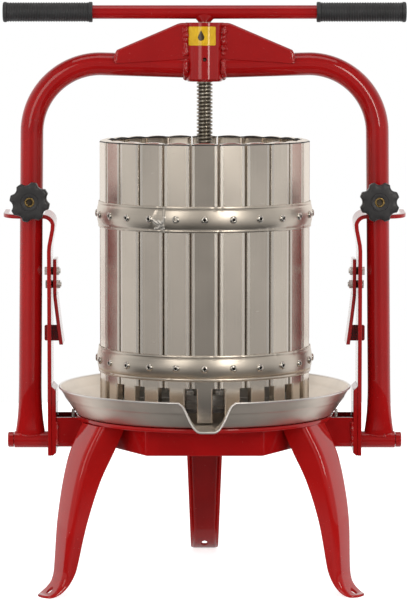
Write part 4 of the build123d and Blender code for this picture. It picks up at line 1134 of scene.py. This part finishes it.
labelVerts, labelFaces = labelMesh(label)
card = addPiece("oilLabel", labelVerts, labelFaces, labelYellow, "frame", ["oil_label"])
thick = card.modifiers.new("cardThickness", "SOLIDIFY")
thick.thickness = label["sheet"] * mm
thick.offset = -1 if card.data.polygons[0].normal.y < 0 else 1
dropVerts, dropFaces = dropMesh(drop)
addPiece("oilDrop", dropVerts, dropFaces, labelInk, "frame")
print("label stuck on")


# tray: spun bowl with a spout drawn out of the front wall

trayShape = {
    "seat": 214.6, "floor": 160.0, "crease": 176.0, "creaseRise": 22.1, "rim": 183.0, "rimRise": 33.4, "inner": 148.0,
    "sheet": 1.5, "spoutFloor": 15.0, "spoutMouth": 30.5, "spoutSoft": (16.0, 9.0, 5.0), "straight": 30.0,
    "reach": 13.4, "roll": 1.3, "rollLift": 0.5, "rollSides": 12, "turn": 0.9, "ridge": 0.9, "ridgeWidth": 1.1,
    "belly": 1.4, "floorSoft": 3.0, "spoutEdge": 0.05, "floorShares": (0, 0.3, 0.6, 0.85), "rows": 44, "frontStep": 1.4,
    "frontSpan": 62.0, "turnStep": 3.0,
}


def softMin(a, b, width):
    near = max(width - abs(a - b), 0) / width
    return min(a, b) - near * near * width / 4


def softMax(a, b, width):
    return -softMin(-a, -b, width)


def spoutRise(x, bowl):
    slope = bowl["rimRise"] / (bowl["spoutMouth"] - bowl["spoutFloor"])
    foot, lip, _ = bowl["spoutSoft"]
    climb = softMax(0, (abs(x) - bowl["spoutFloor"]) * slope, foot)
    return softMin(bowl["rimRise"], climb, lip)


def wallRise(radius, bowl):
    floor, crease = bowl["floor"], bowl["crease"]
    rise = max(radius - floor, 0) * (bowl["creaseRise"] / (crease - floor))
    if radius > crease:
        upper = (bowl["rimRise"] - bowl["creaseRise"]) / (bowl["rim"] - crease)
        rise = bowl["creaseRise"] + (radius - crease) * upper
    ridge = bowl["ridge"] * math.exp(-((radius - crease) / bowl["ridgeWidth"]) ** 2)      # line rolled in at the crease
    bulge = bowl["belly"] * math.sin(math.pi * min(max((radius - floor) / (crease - floor), 0), 1))
    return softMax(0, rise - ridge - bulge, bowl["floorSoft"])


def trayColumns(bowl):
    columns = []
    steps = int(2 * bowl["frontSpan"] / bowl["frontStep"])
    for k in range(steps + 1):
        x = bowl["frontSpan"] * (2 * k / steps - 1)
        start = Vector((x, -math.sqrt(bowl["inner"] ** 2 - x * x), 0))
        share = smoothStep((abs(x) - bowl["straight"]) / (bowl["frontSpan"] - bowl["straight"]))
        endX = x * (1 + share * (bowl["rim"] / bowl["inner"] - 1))
        rise = spoutRise(endX, bowl)
        endY = -math.sqrt(bowl["rim"] ** 2 - endX ** 2) - (1 - rise / bowl["rimRise"]) * bowl["reach"]
        columns.append((start, Vector((endX, endY, 0)), True))
    half = math.degrees(math.asin(bowl["frontSpan"] / bowl["inner"]))
    count = int((360 - 2 * half) / bowl["turnStep"])
    for k in range(1, count):
        angle = math.radians(-90 + half + (360 - 2 * half) * k / count)
        way = Vector((math.cos(angle), math.sin(angle), 0))
        columns.append((way * bowl["inner"], way * bowl["rim"], False))
    return columns


def trayMesh(bowl):
    verts, rim = [], []
    columns = trayColumns(bowl)
    for start, end, front in columns:
        verts += [(start * share + zAxis * bowl["seat"]) * mm for share in bowl["floorShares"]]
        for k in range(bowl["rows"] + 1):
            point = start.lerp(end, k / bowl["rows"])
            rise = wallRise(min(point.length, bowl["rim"]), bowl)
            if front:
                limit = spoutRise(point.x, bowl)
                if limit < bowl["rimRise"] - bowl["spoutEdge"]:
                    rise = softMin(rise, limit, bowl["spoutSoft"][2])
                rise = max(rise, 0)
            point.z = bowl["seat"] + rise
            verts.append(point * mm)
        rim.append(verts[-1] / mm)
    settle = Matrix.Rotation(math.radians(bowl["turn"]), 3, "Z")      # the loose tray stands a little turned
    verts, rim = [settle @ v for v in verts], [settle @ p for p in rim]
    columnLength = len(verts) // len(columns)
    return verts, ringFaces(len(columns), columnLength, closed=False, looped=True), rim


trayVerts, trayFaces, trayRim = trayMesh(trayShape)
trayBowl = addPiece("trayBowl", trayVerts, trayFaces, traySteel, "frame", ["tray"], crease=60)
wall = trayBowl.modifiers.new("traySheet", "SOLIDIFY")
wall.thickness = trayShape["sheet"] * mm
wall.offset = 1 if trayBowl.data.polygons[0].normal.z > 0 else -1
rollPath = [p + zAxis * trayShape["rollLift"] for p in trayRim]
rollVerts, rollFaces = tubeAlong(rollPath, [trayShape["roll"]] * len(rollPath), trayShape["rollSides"], closed=True)
addPiece("trayRim", rollVerts, rollFaces, rimHighlightSteel, "frame", crease=80)
print("tray spun, spout drawn")


# basket: folded staves with crowned tops

stave = {
    "count": 24, "face": 131.5, "gap": 1.9, "depth": 10.0, "sheet": 1.5, "bend": 1.5, "ease": (2.8, 0.28), "bendSteps": 6,
    "foot": 216.5, "shoulder": 260.5, "top": 558.5, "footHalf": 9.75, "footFlange": 9.0, "footBend": 1.7,
    "footBendSteps": 4, "footRise": 12.0, "footRows": (22, 18, 14, 10, 6, 3, 0), "bodyRows": (300.5, 360.0, 460.0),
    "capUnder": (6.0, 1.6), "crown": 1.7, "capColumns": 12, "capInset": 0.05, "capEase": (0.6, 0.35),
    # the feet are darkened towards the bottom as painted shade
    "wobble": 0.08, "tilt": 1.0, "twist": 4.0, "pivot": 400.0, "spoutGap": 1.8, "darkening": 2.0, "footShadeOver": 24.0,
    # cap from the front edge over the top and back under it: inset from the face, height as a share of the crown,
    # or below the top in mm
    "cap": [(0.05, -1.7), (0.05, -1.2), (0.25, -0.6), (0.75, -0.15), (1.5, 0.0), (3.0, 0.55), (5.0, 0.95), (7.0, 1.0),
            (9.0, 0.92), (9.9, 0.80), (9.9, -1.3), (7.0, -1.0), (3.0, -1.0), (1.6, -1.7)],
    # these cap rows are painted near-black as shade along the stave tops
    "capShadedRows": {0, 1, 2, 9},
}
stave["half"] = stave["face"] * math.tan(math.pi / stave["count"]) - stave["gap"] / 2
staveTurns = [math.radians(270) + 2 * math.pi * k / stave["count"] for k in range(stave["count"])]


def channelLooks(arcSteps, stations, eased=False):
    # by place in the list of looks: 0 outside of web and flanges, 1 inside, 3 lighter strips beside the folds, a
    # painted highlight
    side = 2 * (arcSteps + (3 if eased else 2))
    outside = [0] * side
    if eased:
        outside[arcSteps + 1] = outside[arcSteps + 3] = 3
    return (outside + [1] * (side - 1) + [0]) * (stations - 1) + [0] * (2 * (side - 1))


def capMesh(strip, origin, across, outward, lean):
    columns, verts = strip["capColumns"], []
    free, share = strip["capEase"]
    for inset, lift in strip["cap"]:
        for k in range(columns + 1):
            a = 2 * k / columns - 1
            arch = 1 - a * a
            level = strip["top"] + (lift * strip["crown"] * arch if lift > 0 else lift)
            half = strip["half"] - strip["capInset"] - max(0, strip["bend"] - free - inset) * share - inset * lean
            verts.append((origin + across * half * a - outward * inset + zAxis * level) * mm)
    faces = ringFaces(len(strip["cap"]), columns + 1, closed=False)
    last = (len(strip["cap"]) - 1) * (columns + 1)
    faces += [(last + k, last + k + 1, k + 1, k) for k in range(columns)]
    looks = [2 if k // columns in strip["capShadedRows"] else 0 for k in range(len(faces))]
    return verts, faces, looks


def staveMesh(strip, angle, gap):
    outward = Vector((math.cos(angle), math.sin(angle), 0))
    across = Vector((-math.sin(angle), math.cos(angle), 0))
    origin = outward * strip["face"]
    lean = math.tan(math.pi / strip["count"])
    levels = (strip["shoulder"],) + strip["bodyRows"] + tuple(strip["top"] - under for under in strip["capUnder"])
    body = [(origin + zAxis * z, across, -outward, strip["half"], strip["depth"]) for z in levels]
    footLevels = [strip["foot"] + gap, strip["foot"] + strip["footRise"]]
    footLevels += [strip["shoulder"] - down for down in strip["footRows"]]
    foot = [(origin + zAxis * z, across, -outward, strip["footHalf"], strip["footFlange"]) for z in footLevels]
    capVerts, capFaces, capLooks = capMesh(strip, origin, across, outward, lean)      # bent in from the web
    verts, faces = joined([foldedChannel(body, strip["sheet"], strip["bend"], strip["bendSteps"], lean, strip["ease"]),
                           foldedChannel(foot, strip["sheet"], strip["footBend"], strip["footBendSteps"]),
                           (capVerts, capFaces)])
    looks = channelLooks(strip["bendSteps"], len(body), eased=True)
    looks += channelLooks(strip["footBendSteps"], len(foot)) + capLooks
    most, turn = strip["tilt"], strip["twist"]
    tilt = Matrix.Rotation(math.radians(scatter.uniform(-most, most) * strip["wobble"]), 4, across)
    twist = Matrix.Rotation(math.radians(scatter.uniform(-turn, turn) * strip["wobble"]), 4, zAxis)
    pivot = (origin + zAxis * strip["pivot"]) * mm
    return [pivot + tilt @ twist @ (v - pivot) for v in verts], faces, looks


# the first stave, over the spout, stands clear of the tray
staveParts = [staveMesh(stave, turn, 0 if k else stave["spoutGap"]) for k, turn in enumerate(staveTurns)]
shades = [scatter.random() for _ in staveParts]
staveVerts, staveFaces = joined([part[:2] for part in staveParts])
staves = addPiece("basketStaves", staveVerts, staveFaces, [staveSteel, staveInside, shadedCutEdge, foldHighlightSteel],
                  "basket", ["basket_staves"], crease=2.5,
                  faceLooks=[look for part in staveParts for look in part[2]])
shadeLayer = staves.data.attributes.new("staveShade", "FLOAT", "FACE")
for polygon in staves.data.polygons:
    turn = math.degrees(math.atan2(polygon.center.y, polygon.center.x)) - 270
    below = (stave["shoulder"] - polygon.center.z / mm) / stave["footShadeOver"]
    paintedFootShade = stave["darkening"] * smoothStep(below)      # painted shade: the feet darker towards the bottom
    shadeLayer.data[polygon.index].value = paintedFootShade + shades[round(turn / 360 * stave["count"]) % stave["count"]]
print("staves folded:", stave["count"])


# hoops with pressed lips, a lapped joint and one blind rivet per stave

hoop = {
    "inner": 132.5, "lip": 133.7, "crown": 135.5, "height": 32.0, "lipHeight": 3.5, "lipRound": 0.4, "lipStep": (0.25, 0.2, 0.8),
    "steps": 720, "bulgeSteps": 10, "levels": {"lower": 285.0, "upper": 467.0},
    "dents": 30, "dentDepth": (0.25, 0.6), "dentWidth": 2.2, "dentEdge": 2.0, "dentRadius": 135.0,
    "lapAt": {"lower": 68.0, "upper": -111.5}, "lapStep": 0.8, "lapRise": (0.3, 0.6), "lapFade": (3.0, 14.0),
    "flat": 1.0, "flatRun": (7.2, 0.16, 1.6), "flatEnd": 1.0,
}
rivet = {
    "radius": 4.8, "height": 2.2, "hollow": 1.7, "depth": 1.85, "lip": 0.3, "hollowEase": (0.15, 0.2, 0.25),
    "foot": (0.2, 0.9), "domeSteps": 7, "steps": 28, "sway": 0.4,
}


def hoopJoint(band, past, z):
    # change of radius beside the joint: the lap standing proud on one side, dressed flat on the other
    (before, rise), (after, fade), (run, slant, edge) = band["lapRise"], band["lapFade"], band["flatRun"]
    lapped = smoothStep((past + before) / rise) * (1 - smoothStep((past - after) / fade))
    dressed = smoothStep((past + run - slant * z) / edge) * smoothStep(-past / band["flatEnd"])
    return lapped * band["lapStep"] - dressed * band["flat"] * (1 - abs(z) / band["height"])


def hoopProfile(band):
    half, lipHeight, lip, ease = band["height"] / 2, band["lipHeight"], band["lip"], band["lipRound"]
    dip, near, far = band["lipStep"]
    steps, bulge = band["bulgeSteps"], band["crown"] - lip
    profile = [(band["inner"], -half), (lip - ease, -half), (lip, -half + ease),
               (lip, -half + lipHeight - far), (lip - dip, -half + lipHeight - near)]
    for k in range(steps + 1):
        t = 2 * k / steps - 1
        profile.append((lip + bulge * (1 - t * t), (half - lipHeight) * t))
    profile += [(lip - dip, half - lipHeight + near), (lip, half - lipHeight + far), (lip, half - ease),
                (lip - ease, half), (band["inner"], half)]
    return profile + [(band["inner"], half * t) for t in (0.5, 0, -0.5)]


def wrapped(angle):
    return (angle + math.pi) % (2 * math.pi) - math.pi


def hoopMesh(band, level, lapAngle):
    profile = hoopProfile(band)
    dents = [(scatter.uniform(0, 2 * math.pi), scatter.choice((-1, 1)), scatter.uniform(*band["dentDepth"]))
             for _ in range(band["dents"])]
    dented = band["height"] / 2 - band["lipHeight"] - band["dentEdge"]      # dents lie along the edges
    verts = []
    for angle in roundAngles(band["steps"]):
        past = math.degrees(wrapped(angle - math.radians(lapAngle)))
        for radius, z in profile:
            size = radius
            if radius > band["inner"]:
                size += hoopJoint(band, past, z)
                for at, edge, depth in dents:
                    if edge * z > dented:
                        along = wrapped(angle - at) * band["dentRadius"]
                        size -= depth * math.exp(-(along / band["dentWidth"]) ** 2)
            verts.append(Vector((size * math.cos(angle), size * math.sin(angle), level + z)) * mm)
    return verts, ringFaces(band["steps"], len(profile), looped=True)


# the joint is closed by a hand-run weld, smeared flat: runs of angle past the joint and height on the band
hoopSmear = {
    "runs": [[(-7.6, 0.5), (-5.6, -2.5), (-3.4, -5.5), (-1.4, -9.0), (-0.6, -11.5)],
             [(-5.0, -11.8), (-3.0, -11.0), (-0.8, -8.5)], [(-3.2, -2.5), (-1.8, -5.5), (-0.4, -2.0), (0.0, 2.5)]],
    "reach": (2.2, 3.8), "height": 1.5, "sink": 0.5, "lumps": 34, "lumpWidth": (0.9, 2.0), "lumpSize": (-0.5, 0.7),
    "angles": (-9.4, 1.6), "levels": (-12.4, 4.4), "columns": 66, "rows": 46,
}


def smearMesh(smear, band, level, lapAngle):
    perDegree = math.radians(1) * band["crown"]
    (first, last), (low, high), (thin, wide) = smear["angles"], smear["levels"], smear["reach"]
    segments = [(Vector((a[0] * perDegree, a[1])), Vector((b[0] * perDegree, b[1])))
                for run in smear["runs"] for a, b in zip(run, run[1:])]
    lumps = [(Vector((scatter.uniform(first, last) * perDegree, scatter.uniform(low, high))),
              scatter.uniform(*smear["lumpWidth"]), scatter.uniform(*smear["lumpSize"])) for _ in range(smear["lumps"])]
    verts = []
    for j in range(smear["rows"] + 1):
        z = low + (high - low) * j / smear["rows"]
        for k in range(smear["columns"] + 1):
            past = first + (last - first) * k / smear["columns"]
            spot = Vector((past * perDegree, z))
            rough = sum(size * math.exp(-((spot - at).length / width) ** 2) for at, width, size in lumps)
            reach = thin + (wide - thin) * min(max(0.5 + rough, 0), 1)
            near = 2 * wide
            for a, b in segments:
                share = min(max((spot - a).dot(b - a) / (b - a).length_squared, 0), 1)
                near = min(near, (spot - a.lerp(b, share)).length)
            rise = smear["height"] * max(1 - (near / reach) ** 2, 0) * (1 + 0.5 * rough) - smear["sink"]
            t = z / (band["height"] / 2 - band["lipHeight"])
            seat = band["lip"] + (band["crown"] - band["lip"]) * (1 - t * t) + hoopJoint(band, past, z)
            angle = math.radians(lapAngle + past)
            radius = seat + min(rise, smear["height"])
            verts.append(Vector((radius * math.cos(angle), radius * math.sin(angle), level + z)) * mm)
    return verts, ringFaces(smear["rows"] + 1, smear["columns"] + 1, closed=False)


def rivetMesh(pin, angle, level, seat):
    hollow, height, lip = pin["hollow"], pin["height"], pin["hollow"] + pin["lip"]
    side, deep, edge = pin["hollowEase"]
    floor = -pin["depth"] + height
    profile = [(0, floor - deep), (hollow - side, floor), (hollow, height - edge), (lip, height)]
    for t in quarterAngles(pin["domeSteps"])[1:]:
        profile.append((lip + (pin["radius"] - lip) * math.sin(t), height * math.cos(t)))
    inset, sink = pin["foot"]
    profile += [(pin["radius"] - inset, -sink), (0, -sink)]
    place = Matrix.Rotation(angle, 4, "Z") @ Matrix.Translation((seat * mm, 0, level * mm))
    return lathe(profile, pin["steps"], place @ Matrix.Rotation(math.pi / 2, 4, "Y"))


for name, level in hoop["levels"].items():
    hoopVerts, hoopFaces = hoopMesh(hoop, level, hoop["lapAt"][name])
    addPiece("hoop_" + name + "_pressed", hoopVerts, hoopFaces, hoopSteel, "basket", ["hoop_" + name],
             crease=50)
    heads = [rivetMesh(rivet, turn, level + scatter.uniform(-rivet["sway"], rivet["sway"]), hoop["crown"])
             for turn in staveTurns]
    rivetVerts, rivetFaces = joined(heads)
    hollows = [1] * (2 * rivet["steps"])      # floor and wall of the mandrel hole, painted near-black as shade
    headLooks = (hollows + [0] * (len(heads[0][1]) - len(hollows))) * len(heads)
    addPiece("rivets_" + name + "_set", rivetVerts, rivetFaces, [rivetSteel, rivetHoleShade], "basket",
             ["rivets_" + name], crease=50, faceLooks=headLooks)
    smearVerts, smearFaces = smearMesh(hoopSmear, hoop, level, hoop["lapAt"][name])
    addPiece("hoopWeld_" + name, smearVerts, smearFaces, weldSteel, "basket", crease=75)
print("hoops riveted")


# floor, studio and camera

studio = {
    "camera": (-1.4, -3809.0, 714.5), "pitch": 5.36, "lens": 182.1, "sensor": 36.0, "clip": (0.1, 200),
    "paperRadius": 1.8, "paperSides": 96, "floorTone": 0.88, "paperLift": 0.7, "skyLight": 0.40, "aim": (0, 0, 0.4),
    # paper in reflections: fades with distance, bright behind the press, shaded under it
    "paperFront": (0.36, 0.62, 0.31, 0.03), "paperBehind": (-0.12, 0.03, 0.0, 0.85), "underPress": (0.10, 0.28, 0.25, 1.0),
    # room in reflections, by direction: from, to, level there and there
    "roomFront": (-1.0, -0.87, 0.21, 0.50), "roomFlank": (-0.80, -0.55, 0.0, -0.08), "roomSides": (-0.2, 0.45, 0.0, 0.58),
    "facing": (-0.6, -0.1, 1.0, 0.0), "raised": (0.12, 0.55, 0.0, 0.75), "ceiling": (0.55, 0.85, 0.0, 0.65),
    "roomTint": (1, 0.985, 0.965, 1),
    "lamps": {
        "keyRight": {"at": (1.30, -2.81, 1.46), "size": (0.56, 1.9), "power": 24, "tint": (1.0, 0.95, 0.88)},
        "keyLeft": {"at": (-1.45, -2.74, 1.46), "size": (1.1, 1.9), "power": 13, "tint": (1.0, 0.95, 0.88)},
        "fillRight": {"at": (2.3, -0.9, 0.55), "size": (1.2, 1.2), "power": 14, "tint": (1, 1, 1), "soft": True},
        "fillLeft": {"at": (-2.3, -0.9, 0.55), "size": (1.2, 1.2), "power": 19, "tint": (1, 1, 1), "soft": True},
        "fillBack": {"at": (0.0, 2.6, 1.2), "size": (1.8, 1.2), "power": 16, "tint": (1, 1, 1), "soft": True},
        "overhead": {"at": (0.0, -0.3, 3.0), "size": (2.4, 1.6), "power": 16, "tint": (1.0, 0.98, 0.96)},
    },
}


def aimAt(place, target):
    return (Vector(target) - Vector(place)).to_track_quat("-Z", "Y").to_euler()


def setFloor(light):
    edge = [(light["paperRadius"] * math.cos(a), light["paperRadius"] * math.sin(a), 0)
            for a in roundAngles(light["paperSides"])]
    mesh = rawMesh("studioFloor", edge, [tuple(range(len(edge)))])
    floor = bpy.data.objects.new("studioFloor", mesh)
    bpy.context.scene.collection.objects.link(floor)
    look = bpy.data.materials.new("floorPaper")
    look.use_nodes = True
    tree = look.node_tree
    tree.nodes.clear()
    out = wire(tree, "ShaderNodeOutputMaterial")
    paper = wire(tree, "ShaderNodeBsdfDiffuse", {"Color": (light["floorTone"],) * 3 + (1,)})
    path = wire(tree, "ShaderNodeLightPath").outputs
    ground = wire(tree, "ShaderNodeNewGeometry").outputs["Position"]
    spot = wire(tree, "ShaderNodeSeparateXYZ", {0: ground}).outputs
    # in reflections the paper ends a little way in front of the press and runs on behind it
    away = wire(tree, "ShaderNodeVectorMath", {0: ground}, operation="LENGTH").outputs["Value"]
    lit = joinMath(tree, "MAXIMUM", span(tree, away, *light["paperFront"]), span(tree, spot["Y"], *light["paperBehind"]))
    glow = joinMath(tree, "MULTIPLY", lit, span(tree, away, *light["underPress"]))
    inGloss = wire(tree, "ShaderNodeEmission", {"Color": (1, 1, 1, 1), "Strength": glow})
    lift = joinMath(tree, "MULTIPLY", path["Is Camera Ray"], light["paperLift"])
    white = wire(tree, "ShaderNodeEmission", {"Color": (1, 1, 1, 1), "Strength": lift})
    seen = wire(tree, "ShaderNodeAddShader", {0: paper.outputs[0], 1: white.outputs[0]})
    gloss = joinMath(tree, "MAXIMUM", path["Is Glossy Ray"], path["Is Transmission Ray"])
    both = wire(tree, "ShaderNodeMixShader", {0: gloss, 1: seen.outputs[0], 2: inGloss.outputs[0]})
    tree.links.new(both.outputs[0], out.inputs["Surface"])
    mesh.materials.append(look)


def setWorld(light):
    world = bpy.data.worlds.new("whiteStudio")
    bpy.context.scene.world = world
    world.use_nodes = True
    tree = world.node_tree
    tree.nodes.clear()
    out = wire(tree, "ShaderNodeOutputWorld")
    path = wire(tree, "ShaderNodeLightPath").outputs
    way = wire(tree, "ShaderNodeTexCoord").outputs["Generated"]
    axes = wire(tree, "ShaderNodeSeparateXYZ", {0: way}).outputs
    # the room is white behind the press, greyer beside it, dim overhead and behind the camera
    level = joinMath(tree, "ADD", span(tree, axes["Y"], *light["roomFront"]), span(tree, axes["Y"], *light["roomSides"]))
    level = joinMath(tree, "ADD", level, span(tree, axes["Y"], *light["roomFlank"]))
    shade = joinMath(tree, "MULTIPLY", span(tree, axes["Y"], *light["facing"]), span(tree, axes["Z"], *light["raised"]))
    dim = joinMath(tree, "MAXIMUM", shade, span(tree, axes["Z"], *light["ceiling"]))
    room = joinMath(tree, "MULTIPLY", level, joinMath(tree, "SUBTRACT", 1.0, dim))
    white = wire(tree, "ShaderNodeBackground", {"Color": (1, 1, 1, 1), "Strength": 1.0})
    mirror = wire(tree, "ShaderNodeBackground", {"Color": light["roomTint"], "Strength": room})
    soft = wire(tree, "ShaderNodeBackground", {"Color": (1, 1, 1, 1), "Strength": light["skyLight"]})
    gloss = joinMath(tree, "MAXIMUM", path["Is Glossy Ray"], path["Is Transmission Ray"])
    reflected = wire(tree, "ShaderNodeMixShader", {0: gloss, 1: soft.outputs[0], 2: mirror.outputs[0]})
    shown = wire(tree, "ShaderNodeMixShader", {0: path["Is Camera Ray"], 1: reflected.outputs[0], 2: white.outputs[0]})
    tree.links.new(shown.outputs[0], out.inputs["Surface"])


def setLamps(light):
    for name, lamp in light["lamps"].items():
        data = bpy.data.lights.new(name, "AREA")
        data.shape = "RECTANGLE"
        data.size, data.size_y = lamp["size"]
        data.energy = lamp["power"]
        data.color = lamp["tint"]
        ob = bpy.data.objects.new(name, data)
        ob.location = lamp["at"]
        ob.rotation_euler = aimAt(lamp["at"], light["aim"])
        ob.visible_glossy = not lamp.get("soft", False)      # fills light the paint without showing in the steel
        bpy.context.scene.collection.objects.link(ob)


def setCamera(light):
    data = bpy.data.cameras.new("photoCamera")
    data.lens = light["lens"]
    data.sensor_width = light["sensor"]
    data.sensor_fit = "AUTO"
    data.clip_start, data.clip_end = light["clip"]
    ob = bpy.data.objects.new("photoCamera", data)
    ob.location = Vector(light["camera"]) * mm
    ob.rotation_euler = (math.radians(90 - light["pitch"]), 0, 0)
    bpy.context.scene.collection.objects.link(ob)
    bpy.context.scene.camera = ob


setFloor(studio)
setWorld(studio)
setLamps(studio)
setCamera(studio)
bpy.context.scene.view_settings.view_transform = "Standard"
bpy.context.view_layer.update()
